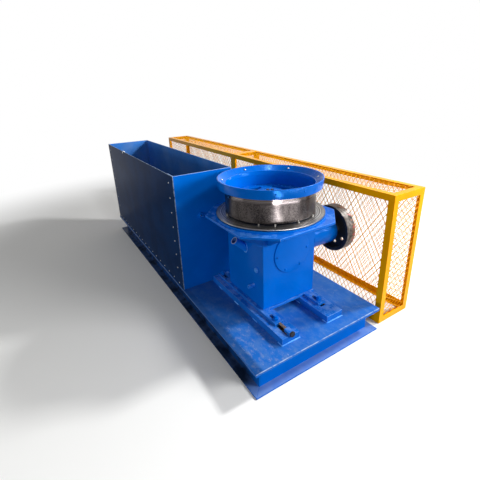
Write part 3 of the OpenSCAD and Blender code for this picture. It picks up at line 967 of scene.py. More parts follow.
@dataclass(frozen=True)
class PlainSteel:
    """Small parts from stock, machined, zinc plated, blackened or of nylon: marked in colour and gloss."""

    name: str
    colour: str
    mark: str
    roughness: float
    metallic: float = 1.0
    marks: Pattern = Pattern(12, 4, rough=0.65, span=(0.40, 0.66))
    grain: Pattern = Pattern(6, 3)
    grain_mm: float = 0.05

    def material(self) -> Material:
        """The finished material: handling marks make it darker and duller.

        Returns:
            The material.
        """
        s = Surface(self.name)
        marks = s.patches(self.marks)
        s.set(Base_Color=s.laid(self.colour, self.mark, marks, 0.5), Metallic=self.metallic)
        s.set(Roughness=s.step(Do.SCALE_ADD, marks, 0.12, self.roughness))
        s.bump(s.noise(self.grain), self.grain_mm)
        return s.material


@dataclass(frozen=True)
class ScrewSteel:
    """A screw with a black head and a shank gone brown and grey with rust."""

    name: str = "rusty_screw_steel"
    head: str = "0c0c0e"
    head_mm: float = 16.0
    shank: tuple[str, str] = ("4a3c33", "a08c7c")
    rusting: Pattern = Pattern(7, 4, rough=0.7, span=(0.38, 0.62))
    thread: Pattern = Pattern(3, 3, (1, 8, 8))
    thread_mm: float = 0.4

    def material(self) -> Material:
        """The finished material: the head is what lies within head_mm of the front end.

        Returns:
            The material.
        """
        s = Surface(self.name)
        shank = s.near(s.axes()[0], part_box("adjusting_screw")[1].x, (-self.head_mm, -self.head_mm - 1))
        rust = s.laid(*self.shank, s.patches(self.rusting))
        s.set(Base_Color=s.laid(self.head, rust, shank), Metallic=0.2, Roughness=0.5)
        s.bump(s.noise(self.thread), self.thread_mm)
        return s.material


@dataclass(frozen=True)
class PulleyIron:
    """Cast iron pulley: black painted web, face polished grey by the belt, red and brown at its edge."""

    name: str = "cast_iron_pulley"
    paint: str = "17171a"
    face: str = "6a6663"
    worn: str = "383533"
    rust: str = "8a5a35"
    red: str = "b0453d"
    wearing: Pattern = Pattern(34, 5, (1, 0.5, 1), 0.7, (0.38, 0.62))
    rusting: Pattern = Pattern(48, 3, span=(0.44, 0.56))
    spots: Pattern = Pattern(42, 2, (1, 2, 1), span=(0.58, 0.64))
    cast: Pattern = Pattern(9, 4, rough=0.6)
    cast_mm: float = 0.35
    rim_r: Pair = (-3.5, -1.5)
    outer_y: Pair = (30, 62)

    def material(self) -> Material:
        """The finished material: the belt face is what lies within 2 mm of the full radius.

        Returns:
            The material.
        """
        s = Surface(self.name)
        low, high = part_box("pulley")
        rim = s.near(s.from_axis("pulley", (1, 0, 1)), (high.x - low.x) / 2, self.rim_r)
        outer = s.near(s.axes()[1], low.y, self.outer_y)
        brown = s.step(Do.MULTIPLY, s.patches(self.rusting), outer)
        spots = s.step(Do.MULTIPLY, s.patches(self.spots), outer)
        face = s.laid(self.face, self.worn, s.patches(self.wearing))
        face = s.laid(s.laid(face, self.rust, brown, 0.85), self.red, spots)
        bare = s.step(Do.SUBTRACT, 1.0, s.step(Do.MAXIMUM, brown, spots))
        s.set(Base_Color=s.laid(self.paint, face, rim), Metallic=s.step(Do.MULTIPLY, rim, bare, 0.85))
        s.set(Roughness=0.42)
        s.bump(s.noise(self.cast), self.cast_mm)
        return s.material


@dataclass(frozen=True)
class PaleFloor:
    """Matt studio floor: pale where it is seen or mirrored, greyer for the light that it throws back up."""

    name: str = "studio_floor"
    colour: str = "f0f0ee"
    thrown: str = "646464"
    near: float = 2.2
    far: float = 4.6

    def material(self) -> Material:
        """The finished material: it keeps the shadow near the machine and goes over to plain white beyond.

        Returns:
            The material.
        """
        s = Surface(self.name)
        shown = seen(s.tree)
        s.set(Base_Color=s.laid(self.thrown, self.colour, shown), Roughness=0.9, Specular_IOR_Level=0.1)
        away = s.step(Do.MASK, s.step(Do.LENGTH, s.place), self.near, self.far)
        white = s.add("Emission", {"Color": (1, 1, 1, 1), "Strength": 1.0}).outputs[0]
        share = s.step(Do.MULTIPLY, away, shown)
        both = s.add("MixShader", {0: share, 1: s.shader.outputs[0], 2: white}).outputs[0]
        s.tree.links.new(both, s.output.inputs[0])
        return s.material


class Finishes:
    """Every material of the machine, made once."""

    def __init__(self) -> None:
        """Makes the materials."""
        blue = ("0066cc", "0061c4", "5f8fc4", 0.05, 0.15)
        plate = ("0869d2", "0464ca", "74aae6", 0.28, 0.13)
        base = ("0066cc", "0061c4", "8296b8", 0.1, 0.25)
        deck = ("2468bc", "1f62b6", "6585b0", 0.30, 0.28, 0.2)
        rail = ("1c6cc8", "1464be", "86a6d4", 0.40, 0.24)
        # The panel's dark navy is in part painted shade: darker than the blue of the same paint elsewhere.
        panel = ("0a2f5c", "082850", "283c56", 0.1, 0.2, 0.06)
        # The lining is a lighter blue than the outer coat: painted light on inner walls that the lamps barely
        # reach.
        lining = ("4284d6", "3878c8", "9cb2d6", 0.2, 0.3)
        yellow = ("ffb200", "faa600", "e8bc60", 0.1, 0.2)
        # Weld beads, drain stub and sight plug: a lighter blue, clouded paler and pale on upward faces, as
        # painted highlight.
        weld = ("2a84e8", "6aacf0", "9cc4f0", 0.5, 0.12)
        # The pipe's blue is lighter than the housing's: painted light on a pipe that lies in the table plate's
        # shade.
        pipe = ("1a84f0", "147ce8", "74aae6", 0.1, 0.15)
        self.blue = GlossEnamel("blue_alkyd_enamel", *blue).material()
        self.plate = GlossEnamel("plate_alkyd_enamel", *plate, edge=0.22).material()
        self.wall = WallEnamel("wall_alkyd_enamel", *blue, edge=0.45).material()
        self.bowl = BowlEnamel("bowl_alkyd_enamel", *blue).material()
        self.base = BaseEnamel("base_alkyd_enamel", *base, shine=0.04).material()
        self.deck = DeckEnamel("deck_alkyd_enamel", *deck, shine=0.15).material()
        self.rail = RailEnamel("rail_alkyd_enamel", *rail, shine=0.2, edge=0.3).material()
        self.panel = PanelEnamel("panel_enamel_painted_shade", *panel, shine=0.004).material()
        self.lining = TankLining("tank_lining_painted_light_and_shadow", *lining, shine=0.1).material()
        self.yellow = GlossEnamel("yellow_alkyd_enamel", *yellow, shine=0.08, tint="ffb030").material()
        self.weld = GlossEnamel("weld_enamel_painted_highlight", *weld).material()
        self.screw = ScrewSteel().material()
        self.pipe = PipeEnamel("pipe_enamel_painted_light", *pipe).material()
        self.band = TurnedSteel().material()
        self.flange = RingWornSteel("wire_worn_steel", "block_flange").material()
        self.machined = PlainSteel("machined_steel", "b9b7b2", "8b8780", 0.30).material()
        self.zinc = PlainSteel("zinc_plated_steel", "a4aab2", "7d828a", 0.26).material()
        self.black = PlainSteel("blackened_steel", "0e0e10", "24211e", 0.42, 0.3).material()
        self.knob = PlainSteel("white_nylon", "ececea", "d8d8d4", 0.4, 0.0).material()
        self.iron = PulleyIron().material()
        self.floor = PaleFloor().material()


# Pieces


@contextmanager
def reworked(mesh: Mesh, reach: float) -> Iterator[bmesh.types.BMesh]:
    """Opens a mesh for work on it, with its doubles merged, and writes it back afterwards.

    Args:
        mesh: The mesh.
        reach: How far apart doubles may be in metres.

    Returns:
        The open mesh, for a with statement.
    """
    bm = bmesh.new()
    bm.from_mesh(mesh)
    bmesh.ops.remove_doubles(bm, verts=bm.verts, dist=reach)
    yield bm
    bm.to_mesh(mesh)
    bm.free()


@dataclass(frozen=True)
class Workshop:
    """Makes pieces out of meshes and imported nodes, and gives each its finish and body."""

    finish: Finishes
    reach: float = 1e-6
    packed_reach: float = 1e-5
    degenerate: float = 1e-7
    flat_degrees: float = 0.4
    edge_degrees: float = 30.0

    def piece(self, name: str, shape: Shape, finish: Material, stands_for: tuple[str, ...] = (),
              slot: Slot = Slot.BLUE, body: Body = Body.MACHINE, sharp: float = 35.0) -> Piece:
        """Makes a piece of a shape: doubles merged, faces outward, smooth between sharp edges.

        Args:
            name: Name of the piece.
            shape: Points in machine millimetres and faces.
            finish: Its material.
            stands_for: Nodes that it replaces.
            slot: Passed to place, which doesn't use it.
            body: The body it rides on.
            sharp: Edges that turn by more than this many degrees stay sharp.

        Returns:
            The piece.
        """
        mesh = bpy.data.meshes.new(name)
        mesh.from_pydata(at(shape[0]).tolist(), [], shape[1].tolist())
        with reworked(mesh, self.reach) as bm:
            bmesh.ops.dissolve_degenerate(bm, dist=self.degenerate, edges=bm.edges)
            bmesh.ops.recalc_face_normals(bm, faces=bm.faces)
        return self.place(name, mesh, finish, stands_for, slot, body, sharp)

    def place(self, name: str, mesh: Mesh, finish: Material, stands_for: tuple[str, ...], slot: Slot,
              body: Body, sharp: float) -> Piece:
        """Links a mesh as a piece.

        Args:
            name: Name of the piece.
            mesh: Its mesh in metres.
            finish: Its material.
            stands_for: Nodes that it replaces.
            slot: Not used.
            body: The body it rides on.
            sharp: Edges that turn by more than this many degrees stay sharp.

        Returns:
            The piece.
        """
        mesh.materials.clear()
        mesh.materials.append(finish)
        mesh.shade_smooth()
        mesh.set_sharp_from_angle(angle=math.radians(sharp))
        piece = bpy.data.objects.new(name, mesh)
        bpy.context.scene.collection.objects.link(piece)
        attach(piece, body.value)
        if stands_for:
            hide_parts(*stands_for)
        LOG.info("%s: %d faces, on %s", name, len(mesh.polygons), body.value)
        return piece

    def worked(self, node: str, finish: Material, edge_mm: float, slot: Slot = Slot.BLUE) -> Piece:
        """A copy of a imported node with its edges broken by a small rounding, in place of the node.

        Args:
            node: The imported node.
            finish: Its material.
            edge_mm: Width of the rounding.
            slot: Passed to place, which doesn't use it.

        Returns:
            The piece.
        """
        source = frame["nodes"][node]
        mesh = source.data.copy()
        with reworked(mesh, self.packed_reach) as bm:
            flat = math.radians(self.flat_degrees)
            bmesh.ops.dissolve_limit(bm, angle_limit=flat, verts=bm.verts, edges=bm.edges)
        body = Body(source["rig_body"])
        piece = self.place(node + "_worked", mesh, finish, (node,), slot, body, self.edge_degrees)
        bevel = piece.modifiers.new("broken_edges", "BEVEL")
        bevel.width, bevel.segments, bevel.limit_method = edge_mm * MM, 2, "ANGLE"
        bevel.angle_limit, bevel.harden_normals = math.radians(self.edge_degrees), True
        return piece

    def coat(self, finish: Material, *nodes: str) -> None:
        """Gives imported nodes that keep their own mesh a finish.

        Args:
            finish: The material.
            nodes: The nodes.
        """
        for node in nodes:
            mesh = frame["nodes"][node].data
            mesh.materials.clear()
            mesh.materials.append(finish)


@dataclass(frozen=True)
class Base:
    """The welded base of channels and its deck. Sizes in millimetres."""

    shop: Workshop
    channel_edge: float = 2.0
    deck_edge: float = 1.5

    def build(self) -> None:
        """Makes the base."""
        finish = self.shop.finish
        for node in ("base_side_left", "base_side_right", "base_front_beam", "base_rear_beam"):
            self.shop.worked(node, finish.base, self.channel_edge)
        self.shop.coat(finish.base, "base_cross_beams")
        self.shop.worked("deck_plate", finish.deck, self.deck_edge)


@dataclass(frozen=True)
class Tank:
    """The open tank with its bolted side panel. Sizes in millimetres."""

    shop: Workshop
    screw_inset: float = 85.0
    screw_d: float = 11.0
    screw_h: float = 4.0
    sunk: float = 0.4
    first_screw: float = 1001.0
    column_pitch: float = 111.5
    column_screws: int = 7
    foot_row: float = 198.0
    row_pitch: float = 108.0
    knob_r: float = 14.0
    knob_at: tuple[float, float, float] = (-2331.0, 15.0, 1048.5)
    boss_round: float = 2.0

    def screws(self) -> Shape:
        """Pan heads down both ends of the panel and along its foot, all facing the near side.

        Returns:
            Points and faces.
        """
        low, high = box_mm("tank_side_panel")
        ahead, behind = high[0] - self.screw_inset, low[0] + self.screw_inset
        heights = self.first_screw - self.column_pitch * np.arange(self.column_screws)
        row = np.linspace(ahead, behind, round((ahead - behind) / self.row_pitch) + 1)
        x = np.concatenate([np.full_like(heights, ahead), np.full_like(heights, behind), row])
        z = np.concatenate([heights, heights, np.full_like(row, self.foot_row)])
        points = np.stack([x, np.full_like(x, low[1] + self.sunk), z], 1)
        return scattered(pan_head(self.screw_d, self.screw_h), facing(points, (0, -1, 0)))

    def knob(self) -> Shape:
        """A ball on the panel's upper edge: radius r sin t at height -r cos t.

        Returns:
            Points and faces.
        """
        t = np.linspace(0, np.pi, 15)
        ball = turned(self.knob_r * np.stack([np.sin(t), -np.cos(t)], 1), 28)
        return scattered(ball, facing([self.knob_at], (0, 0, 1)))

    def outlet(self) -> Shape:
        """The boss that the wire leaves through: a ring with a rounded mouth, turned about X.

        Returns:
            Points and faces.
        """
        ring = np.array([[8, 0], [20, 0], [20, 18], [17, 22], [11, 22], [8, 19]])
        wall = box_mm("tank_front_wall")[1][0]
        _, y, z = box_mm("wire_outlet").mean(0)
        return scattered(turned(rounded(ring, self.boss_round), 48), facing([[wall, y, z]], (1, 0, 0)))

    def build(self) -> None:
        """Makes the tank."""
        finish, shop = self.shop.finish, self.shop
        shop.worked("tank_side_panel", finish.panel, 1.0, Slot.PANEL)
        shop.worked("tank_front_wall", finish.wall, 1.8)
        for node in ("tank_back_wall", "tank_end_wall", "tank_floor"):
            shop.worked(node, finish.lining, 1.2)
        shop.piece("panel_screws", self.screws(), finish.zinc, slot=Slot.MACHINED)
        shop.piece("edge_knob", self.knob(), finish.knob, slot=Slot.MACHINED)
        shop.piece("outlet_boss", self.outlet(), finish.blue, ("wire_outlet",))


@dataclass(frozen=True)
class SlideRails:
    """The two slotted rails on the deck, with their clamp bolts and adjusting screw. Sizes in millimetres."""

    shop: Workshop
    bead_z: float = 176.5
    end_bead: float = 4.5
    side_bead: float = 4.0
    left_run: float = 70.0
    right_run: float = 40.0
    first_run: float = 250.0
    run_pitch: float = 230.0
    run: float = 60.0

    def beads(self) -> Shape:
        """Weld beads round the front end of each rail and in short runs along its sides.

        Returns:
            Points and faces.
        """
        runs = []
        z = self.bead_z
        for node in ("slide_rail_left", "slide_rail_right"):
            (x0, y0, _), (x1, y1, _) = box_mm(node)
            corners = [[x1 - self.left_run, y1, z], [x1, y1, z], [x1, y0, z], [x1 - self.right_run, y0, z]]
            runs.append(bead(corners, self.end_bead))
            for x in np.arange(x1 - self.first_run, x0, -self.run_pitch):
                runs += [bead([[x, y, z], [x - self.run, y, z]], self.side_bead) for y in (y0, y1)]
        return joined(*runs)

    def build(self) -> None:
        """Makes the rails."""
        finish, shop = self.shop.finish, self.shop
        for node in ("slide_rail_left", "slide_rail_right"):
            shop.worked(node, finish.rail, 2.0)
        shop.piece("rail_welds", self.beads(), finish.weld, sharp=WELD_SHARP)
        shop.worked("adjusting_screw", finish.screw, 1.5, Slot.BLACK)
        shop.worked("clamp_bolts", finish.blue, 1.0)


@dataclass(frozen=True)
class Gearbox:
    """The gearbox housing with its foot, top plate, seat ring and side fittings. Sizes in millimetres."""

    shop: Workshop
    axis: Pair = (-572.0, 522.0)
    table_z: float = 809.0
    seat_r: float = 371.0
    seat_t: float = 11.0
    bearing_r: float = 110.0
    bearing_top: float = 906.0
    shaft_r: float = 45.05
    cover: tuple[float, float, float] = (-357.0, 536.0, 597.0)
    cover_r: float = 143.0
    cover_t: float = 8.0
    bolt_circle: float = 122.0
    bolt_turn: float = 2.0
    pipe_weld: Pair = (26.0, 34.0)
    weld_r: float = 3.0
    weld_pitch: float = 7.0

    def seat(self) -> Shape:
        """The raised ring and the bearing inside it, one outline turned about the block's axis.

        Returns:
            Points and faces.
        """
        z0, z1, z2 = self.table_z, self.table_z + self.seat_t, self.bearing_top
        outline = [[self.shaft_r, z0], [self.seat_r, z0], [self.seat_r, z1], [self.bearing_r, z1],
                   [self.bearing_r, z2], [self.shaft_r, z2]]
        points, faces = turned(rounded(np.array(outline), [0.5, 0.5, 3, 6, 4, 1]), 192)
        return points + [*self.axis, 0], faces

    def cover_plate(self) -> Shape:
        """The round cover: a disc with a rounded edge, turned about X.

        Returns:
            Points and faces.
        """
        outline = [[0, 0], [self.cover_r, 0], [self.cover_r, self.cover_t], [0, self.cover_t]]
        shape = turned(rounded(np.array(outline), [0, 0.5, 2.5, 0]), 128)
        return scattered(shape, facing([self.cover], (1, 0, 0)))

    def pipe_bead(self) -> Shape:
        """The weld round the filler pipe's foot, a cos t by b sin t on the housing's left side.

        Returns:
            Points and faces.
        """
        t = np.linspace(0, 2 * np.pi, 49)
        a, b = self.pipe_weld
        path = np.stack([a * np.cos(t), 0 * t, b * np.sin(t)], 1) + PipeEnamel.joint
        return bead(path, self.weld_r, self.weld_pitch)

    def cover_bolts(self) -> Shape:
        """Six hexagon heads round the cover's edge.

        Returns:
            Points and faces.
        """
        a = np.radians(np.arange(6) * 60 + self.bolt_turn)
        ring = self.bolt_circle * np.stack([0 * a, np.cos(a), np.sin(a)], 1)
        places = ring + self.cover + np.array([self.cover_t, 0, 0])
        return scattered(hexagon(14, 5.5, 1.0, 1.2), facing(places, (1, 0, 0), 0.3))

    def build(self) -> None:
        """Makes the gearbox."""
        finish, shop = self.shop.finish, self.shop
        shop.worked("gearbox_foot", finish.rail, 2.0)
        shop.worked("gearbox_housing", finish.blue, 3.0)
        shop.worked("table_plate", finish.plate, 2.5)
        shop.worked("table_gussets", finish.blue, 1.5)
        shop.worked("side_sleeve", finish.pipe, 1.2)
        shop.piece("pipe_weld", self.pipe_bead(), finish.weld, sharp=WELD_SHARP)
        shop.worked("drain_stub", finish.weld, 1.5)
        shop.worked("sight_plug", finish.weld, 1.0)
        shop.piece("seat_ring", self.seat(), finish.blue, ("block_seat",))
        shop.piece("cover_disc", self.cover_plate(), finish.blue, ("front_cover",))
        shop.piece("cover_bolts", self.cover_bolts(), finish.blue)


@dataclass(frozen=True)
class TakeUpBlock:
    """The block that turns: flange, bowl, steel band, rim, hub and shaft. Sizes in millimetres."""

    shop: Workshop
    axis: Pair = (-572.0, 522.0)
    flange_z: float = 825.0
    flange_t: float = 8.0
    flange_r: float = 362.0
    band_z: float = 842.0
    rim_z: float = 1003.0
    top_z: float = 1063.0
    band_r: float = 300.0
    band_gap: float = 0.2
    wear: float = 1.2
    skirt_r: float = 292.0
    bowl_r: float = 285.0
    rim_r: float = 346.0
    rim_sharp: float = 50.0
    step_r: float = 299.0
    ledge: float = 7.0
    step_h: float = 34.0
    taper: float = 6.0
    edge: float = 9.0
    outer_screws: tuple[float, float, float] = (342.8, 1036.0, -61.5)
    step_screws: tuple[float, float, float] = (314.0, 1047.0, 118.0)
    pin_r: float = 297.0
    pin_angles: tuple[float, ...] = (-2, -31, -50, 27, 76, 112, 148, 184, 220, 256)
    shaft_r: float = 45.0
    keeper_r: float = 62.0
    keeper_z: float = 956.0
    keeper_t: float = 8.0
    keeper_bolt_r: float = 14.0
    keeper_turn: float = 53.0

    def about_axis(self, outline: list, radii: list | float, segments: int = 224, steps: int = 4) -> Shape:
        """Turns a rounded outline about the block's axis.

        Args:
            outline: Corners as radius and height.
            radii: Rounding of all corners, or of each.
            segments: Steps round the axis.
            steps: Steps of each rounding.

        Returns:
            Points and faces.
        """
        points, faces = turned(rounded(np.array(outline, float), radii, steps), segments)
        return points + [*self.axis, 0], faces

    def flange(self) -> Shape:
        """The steel flange, its upper edge rounded more than its lower one.

        Returns:
            Points and faces.
        """
        r, z0, z1 = self.flange_r, self.flange_z, self.flange_z + self.flange_t
        outline = [[self.bowl_r, z0], [r, z0], [r, z1], [self.bowl_r, z1]]
        return self.about_axis(outline, [0.5, 1.5, 2.5, 0.5])

    def skirt(self) -> Shape:
        """The bowl's wall.

        Returns:
            Points and faces.
        """
        r, z0, z1 = self.skirt_r, self.flange_z + self.flange_t, self.rim_z
        return self.about_axis([[self.bowl_r, z0], [r, z0], [r, z1], [self.bowl_r, z1]], 0.5)

    def band(self) -> Shape:
        """The steel band, worn thinner by wire between its foot and its upper edge.

        Returns:
            Points and faces.
        """
        r, z0, z1, inner = self.band_r, self.band_z, self.rim_z, self.skirt_r + self.band_gap
        worn = r - self.wear
        outline = [[inner, z0], [r, z0], [r, z0 + 6], [worn, z0 + 22], [worn, z1 - 30], [r, z1 - 14], [r, z1],
                   [inner, z1]]
        return self.about_axis(outline, [0.5, 1.5, 4, 8, 8, 4, 1, 0.5])

    def rim(self) -> Shape:
        """The flared rim with its sloping inner step and rounded upper edge.

        Returns:
            Points and faces.
        """
        r, t = self.rim_r, self.top_z
        outline = [[self.bowl_r, self.rim_z], [r - self.taper, self.rim_z], [r, t], [r - self.edge, t],
                   [self.step_r, t - self.step_h], [self.step_r - self.ledge, t - self.step_h]]
        return self.about_axis(outline, [0.5, 3, 4, 4, 4, 3], 256, 6)

    def screws_outside(self) -> Shape:
        """Small screws on the rim's outside, every 30 degrees, level with its middle.

        Returns:
            Points and faces.
        """
        r, z, start = self.outer_screws
        places, out = around(self.axis, r, z, start + np.arange(12) * 30)
        return scattered(pan_head(12, 3.5), facing(places, out + [0, 0, -0.1]))

    def screws_inside(self) -> Shape:
        """Bright screws on the sloping step inside the rim, every 60 degrees.

        Returns:
            Points and faces.
        """
        r, z, start = self.step_screws
        places, out = around(self.axis, r, z, start + np.arange(6) * 60)
        return scattered(pan_head(14, 3.5), facing(places, -0.57 * out + [0, 0, 0.82]))

    def pins(self) -> Shape:
        """Bright pins in the groove under the band, between flange and band.

        Returns:
            Points and faces.
        """
        places, _ = around(self.axis, self.pin_r, self.flange_z + self.flange_t, np.array(self.pin_angles))
        return scattered(hexagon(11, 8.9, 0.6), facing(places, (0, 0, 1), 0.2))

    def keeper(self) -> Shape:
        """The shaft with its keeper plate, one outline turned about the axis.

        Returns:
            Points and faces.
        """
        foot, r, z = box_mm("block_shaft")[0][2], self.keeper_r, self.keeper_z
        top = z + self.keeper_t
        outline = [[0, foot], [self.shaft_r, foot], [self.shaft_r, z], [r, z], [r, top], [0, top]]
        return self.about_axis(outline, [0, 2, 0.3, 1.5, 2.5, 0], 96)

    def keeper_bolts(self) -> Shape:
        """Two hexagon heads on the keeper plate, across from each other.

        Returns:
            Points and faces.
        """
        top = self.keeper_z + self.keeper_t
        places, _ = around(self.axis, self.keeper_bolt_r, top, self.keeper_turn + np.array([180, 0]))
        return scattered(hexagon(24, 8, 1.5), facing(places, (0, 0, 1)))

    def build(self) -> None:
        """Makes the block."""
        finish, shop = self.shop.finish, self.shop
        block = Body.BLOCK
        shop.piece("flange_ring", self.flange(), finish.flange, ("block_flange",), Slot.WORN, block)
        shop.piece("bowl_wall", self.skirt(), finish.bowl, ("block_skirt",), Slot.BLUE, block)
        shop.piece("wire_band", self.band(), finish.band, ("block_band",), Slot.WORN, block)
        shop.piece("rim_ring", self.rim(), finish.blue, ("block_rim",), Slot.BLUE, block, self.rim_sharp)
        shop.worked("block_web", finish.blue, 2.0)
        shop.piece("shaft_keeper", self.keeper(), finish.blue, ("block_shaft",), Slot.MACHINED, block)
        shop.piece("keeper_bolts", self.keeper_bolts(), finish.black, (), Slot.BLACK, block)
        shop.piece("rim_screws", self.screws_outside(), finish.blue, (), Slot.BLUE, block)
        shop.piece("step_screws", self.screws_inside(), finish.zinc, (), Slot.MACHINED, block)
        shop.piece("groove_pins", self.pins(), finish.machined, (), Slot.MACHINED, block)


@dataclass(frozen=True)
class InputDrive:
    """The input housing, shaft and flat belt pulley. Sizes in millimetres."""

    shop: Workshop
    foot: tuple[float, float, float] = (-452.0, 737.0, 621.0)
    length: float = 221.0
    radius: float = 96.0
    shaft_r: float = 24.05

    def housing(self) -> Shape:
        """The round housing with a rounded outer end, turned about Y.

        Returns:
            Points and faces.
        """
        bore, r, end = self.shaft_r, self.radius, self.length
        shape = turned(rounded([[bore, 0], [r, 0], [r, end], [bore, end]], [0.5, 0.5, 9, 2], 6), 112)
        return scattered(shape, facing([self.foot], (0, 1, 0)))

    def build(self) -> None:
        """Makes the input drive."""
        finish, shop = self.shop.finish, self.shop
        shop.piece("input_barrel", self.housing(), finish.blue, ("input_housing",))
        shop.worked("pulley", finish.iron, 2.5, Slot.CAST)
        shop.worked("input_shaft", finish.machined, 2.0, Slot.MACHINED)


class Side(Enum):
    """The sides of a guard section that carry mesh: name, and axes along and up the sheet, 0 for X to 2 for Z."""

    NEAR = ("near", 0, 2)
    FAR = ("far", 0, 2)
    TOP = ("top", 0, 1)
    END = ("end", 2, 1)


@dataclass(frozen=True)
class ExpandedMesh:
    """Steel sheet slit and stretched into diamonds. Sizes in millimetres."""

    short: float
    long: float
    strand: float = 3.0
    gauge: float = 1.6
    tilt: float = 0.5
    overlap: float = 0.4

    def sheet(self, width: float, height: float) -> Shape:
        """Zigzag strands up the sheet, which touch their neighbours at every knuckle.

        Strand i runs up in steps of half a diamond; at step k it stands half a diamond to the right where
        i + k is odd. Each leg is a flat bar turned about itself by tilt, to one side on the way out and to
        the other on the way back, as stretched metal is.

        Args:
            width: Room along X, the short way of the diamonds.
            height: Room along Y, the long way.

        Returns:
            Points and quads of a sheet centred on the origin, facing Z.
        """
        cols, rows = int(width // (self.short / 2)), int(height // (self.long / 2))
        i, k = np.meshgrid(np.arange(cols), np.arange(rows + 1), indexing="ij")
        x = (i + (i + k) % 2 - cols / 2) * self.short / 2
        y = (k - rows / 2) * self.long / 2
        joint = np.stack([x, y, 0 * x], -1).astype(float)
        start, end = joint[:, :-1], joint[:, 1:]
        along = (end - start) / np.linalg.norm(end - start, axis=-1, keepdims=True)
        across = np.cross([0, 0, 1.0], along)
        lean = np.where(end[..., :1] > start[..., :1], self.tilt, -self.tilt)
        face = np.cos(lean) * across + np.sin(lean) * np.array([0, 0, 1.0])
        thick = np.cross(along, face)
        past = along * self.strand * self.overlap
        corner = np.array([[-1, -1], [1, -1], [1, 1], [-1, 1]]) / 2
        ring = corner[:, 0, None] * face[..., None, :] * self.strand
        ring = ring + corner[:, 1, None] * thick[..., None, :] * self.gauge
        points = np.stack([(start - past)[..., None, :] + ring, (end + past)[..., None, :] + ring], -3)
        bars = points.reshape(-1, 8, 3)
        quads = np.array([[0, 1, 5, 4], [1, 2, 6, 5], [2, 3, 7, 6], [3, 0, 4, 7], [3, 2, 1, 0], [4, 5, 6, 7]])
        shift = np.arange(len(bars))[:, None, None] * 8
        return bars.reshape(-1, 3), (quads[None] + shift).reshape(-1, 4)

    def fitted(self, side: Side, low: Array, high: Array) -> Shape:
        """A sheet laid into a flat box.

        Args:
            side: The side of the guard, which says how the sheet stands.
            low: Lowest corner of the box in machine millimetres.
            high: Highest corner.

        Returns:
            Points and quads in machine millimetres.
        """
        _, across, up = side.value
        turn = np.eye(4)
        turn[:3, :3] = np.eye(3)[:, [across, up, 3 - across - up]]
        turn[:3, 3] = (low + high) / 2
        return scattered(self.sheet((high - low)[across], (high - low)[up]), turn[None])


@dataclass(frozen=True)
class BeltGuard:
    """The two sections of the guard: angle-bar frames with expanded mesh. Sizes in millimetres."""

    shop: Workshop
    mesh: ExpandedMesh = ExpandedMesh(40.5, 64.0)
    end_mesh: ExpandedMesh = ExpandedMesh(41.0, 68.0)
    end_t: float = 3.0
    bar_edge: float = 1.2
    strand_sharp: float = 20.0

    def strands(self, name: str, shape: Shape, node: str) -> None:
        """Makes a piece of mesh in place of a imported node."""
        finish = self.shop.finish.yellow
        self.shop.piece(name, shape, finish, (node,), Slot.YELLOW, sharp=self.strand_sharp)

    def build(self) -> None:
        """Makes the guard."""
        for node in ("guard_posts", "guard_long_rails", "guard_cross_rails"):
            self.shop.worked(node, self.shop.finish.yellow, self.bar_edge, Slot.YELLOW)
        for section in ("front", "rear"):
            for side in (Side.NEAR, Side.FAR, Side.TOP):
                node = f"guard_{section}_{side.value[0]}_mesh"
                self.strands(node + "_strands", self.mesh.fitted(side, *box_mm(node)), node)
        low, high = box_mm("guard_end_meshes")
        inwards = np.array([self.end_t, 0, 0])
        rear = self.end_mesh.fitted(Side.END, low, np.array([low[0], *high[1:]]) + inwards)
        front = self.end_mesh.fitted(Side.END, np.array([high[0], *low[1:]]) - inwards, high)
        self.strands("guard_end_strands", joined(rear, front), "guard_end_meshes")


def placed(x: Array, y: Array, z: Array, place: tuple) -> Matrix:
    """The matrix of an object at a place in metres whose own axes lie along x, y and z."""
    return Matrix(np.vstack([np.stack([x, y, z, place], 1), [0, 0, 0, 1]]).tolist())


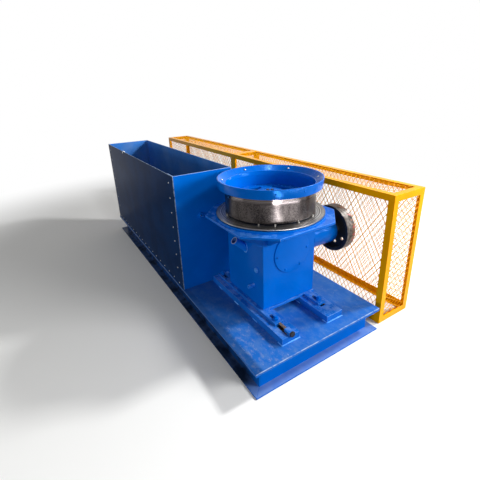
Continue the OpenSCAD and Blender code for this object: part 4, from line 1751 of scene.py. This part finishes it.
@dataclass(frozen=True)
class Studio:
    """Floor, lamps, world and camera. Sizes in metres, angles in radians, lens in millimetres."""

    finishes: Finishes
    eye: tuple[float, float, float] = (3.0723, -1.4387, 1.5792)
    azimuth: float = 2.59405032
    pitch: float = 0.351333095
    roll: float = -0.0353454
    lens: float = 24.761
    sensor: float = 36.0
    shift_y: float = -0.05625
    farthest: float = 100.0
    fill: float = 0.34
    half_floor: float = 60.0

    def camera(self) -> None:
        """The camera: forward (cos p cos a, cos p sin a, -sin p), turned about it by the roll."""
        a, p, r = self.azimuth, self.pitch, self.roll
        forward = np.array([math.cos(p) * math.cos(a), math.cos(p) * math.sin(a), -math.sin(p)])
        right = np.cross(forward, [0, 0, 1.0])
        right /= np.linalg.norm(right)
        up = np.cross(right, forward)
        x = math.cos(r) * right + math.sin(r) * up
        y = -math.sin(r) * right + math.cos(r) * up
        data = bpy.data.cameras.new("photo_camera")
        data.lens, data.sensor_width, data.shift_y, data.clip_end = (
            self.lens, self.sensor, self.shift_y, self.farthest)
        camera = bpy.data.objects.new("photo_camera", data)
        camera.matrix_world = placed(x, y, -forward, self.eye)
        bpy.context.scene.collection.objects.link(camera)
        bpy.context.scene.camera = camera

    def lamp(self, name: str, place: tuple, target: tuple, size: Pair, power: float,
             kind: Lamp = Lamp.WHOLE) -> None:
        """Adds a rectangular lamp that the camera doesn't see.

        Args:
            name: Name of the lamp.
            place: Its middle.
            target: The point that it faces.
            size: Width and height.
            power: Watts.
            kind: Whether it lights, shows in reflections, or both.
        """
        data = bpy.data.lights.new(name, "AREA")
        data.shape, data.size, data.size_y, data.energy = "RECTANGLE", *size, power
        lamp = bpy.data.objects.new(name, data)
        z = np.array(place, float) - np.array(target, float)
        z /= np.linalg.norm(z)
        x = np.cross([0, 0, 1.0], z)
        x /= np.linalg.norm(x)
        lamp.matrix_world = placed(x, np.cross(z, x), z, place)
        lamp.visible_camera = False
        lamp.visible_diffuse, lamp.visible_glossy = kind.value
        bpy.context.scene.collection.objects.link(lamp)

    def floor(self) -> None:
        """A flat square floor."""
        corners = self.half_floor * np.array([[-1, -1, 0], [1, -1, 0], [1, 1, 0], [-1, 1, 0]])
        mesh = bpy.data.meshes.new("studio_floor")
        mesh.from_pydata(corners.tolist(), [], [[0, 1, 2, 3]])
        mesh.materials.append(self.finishes.floor)
        floor = bpy.data.objects.new("studio_floor", mesh)
        bpy.context.scene.collection.objects.link(floor)

    def world(self) -> None:
        """A dim grey world for the light, white to the camera, in reflections and through glass."""
        world = bpy.data.worlds.new("studio_world")
        bpy.context.scene.world = world
        world.use_nodes = True
        tree = world.node_tree
        tree.nodes.clear()
        level = add(tree, "Mix", {0: seen(tree), 2: self.fill, 3: 1.0}).outputs[0]
        back = add(tree, "Background", {"Color": (1, 1, 1, 1), "Strength": level}).outputs[0]
        add(tree, "OutputWorld", {"Surface": back})

    def build(self) -> None:
        """Makes the studio: a key lamp on the guard's side, softer ones ahead and near, four for glints."""
        self.camera()
        self.floor()
        self.world()
        self.lamp("side_window", (2.65, 4.21, 4.41), (1.5, -0.1, 0.4), (0.7, 0.7), 320)
        self.lamp("front_window", (5.62, 2.99, 2.66), (1.6, -0.15, 0.6), (2.2, 1.6), 300)
        self.lamp("near_window", (3.3, -5.2, 1.3), (1.7, -0.1, 0.7), (2.6, 1.2), 68, Lamp.GLOW)
        self.lamp("sunlit_floor", (3.72, -1.12, 0.01), (3.7133, -1.1126, 1.0), (0.5, 1.1), 190, Lamp.GLINT)
        self.lamp("far_floor", (4.4, 0.1, 0.008), (4.401, 0.1, 1.0), (3.6, 1.0), 260, Lamp.GLINT)
        self.lamp("left_floor", (-0.2, -2.4, 0.01), (-0.2, -2.399, 1.0), (2.0, 0.8), 7, Lamp.GLINT)
        self.lamp("skylight", (1.57, -0.15, 5.5), (1.572, -0.154, 0.0), (0.6, 0.6), 130, Lamp.GLINT)
        bpy.context.scene.view_settings.view_transform = "Standard"


def main() -> None:
    """Builds every sub-assembly in order."""
    logging.basicConfig(level=logging.INFO, format="%(message)s")
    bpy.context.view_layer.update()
    finishes = Finishes()
    shop = Workshop(finishes)
    for part in (Base(shop), Tank(shop), SlideRails(shop), Gearbox(shop), TakeUpBlock(shop), InputDrive(shop),
                 BeltGuard(shop), Studio(finishes)):
        LOG.info("building %s", type(part).__name__)
        part.build()
    bpy.context.view_layer.update()


if __name__ == "__main__":
    main()
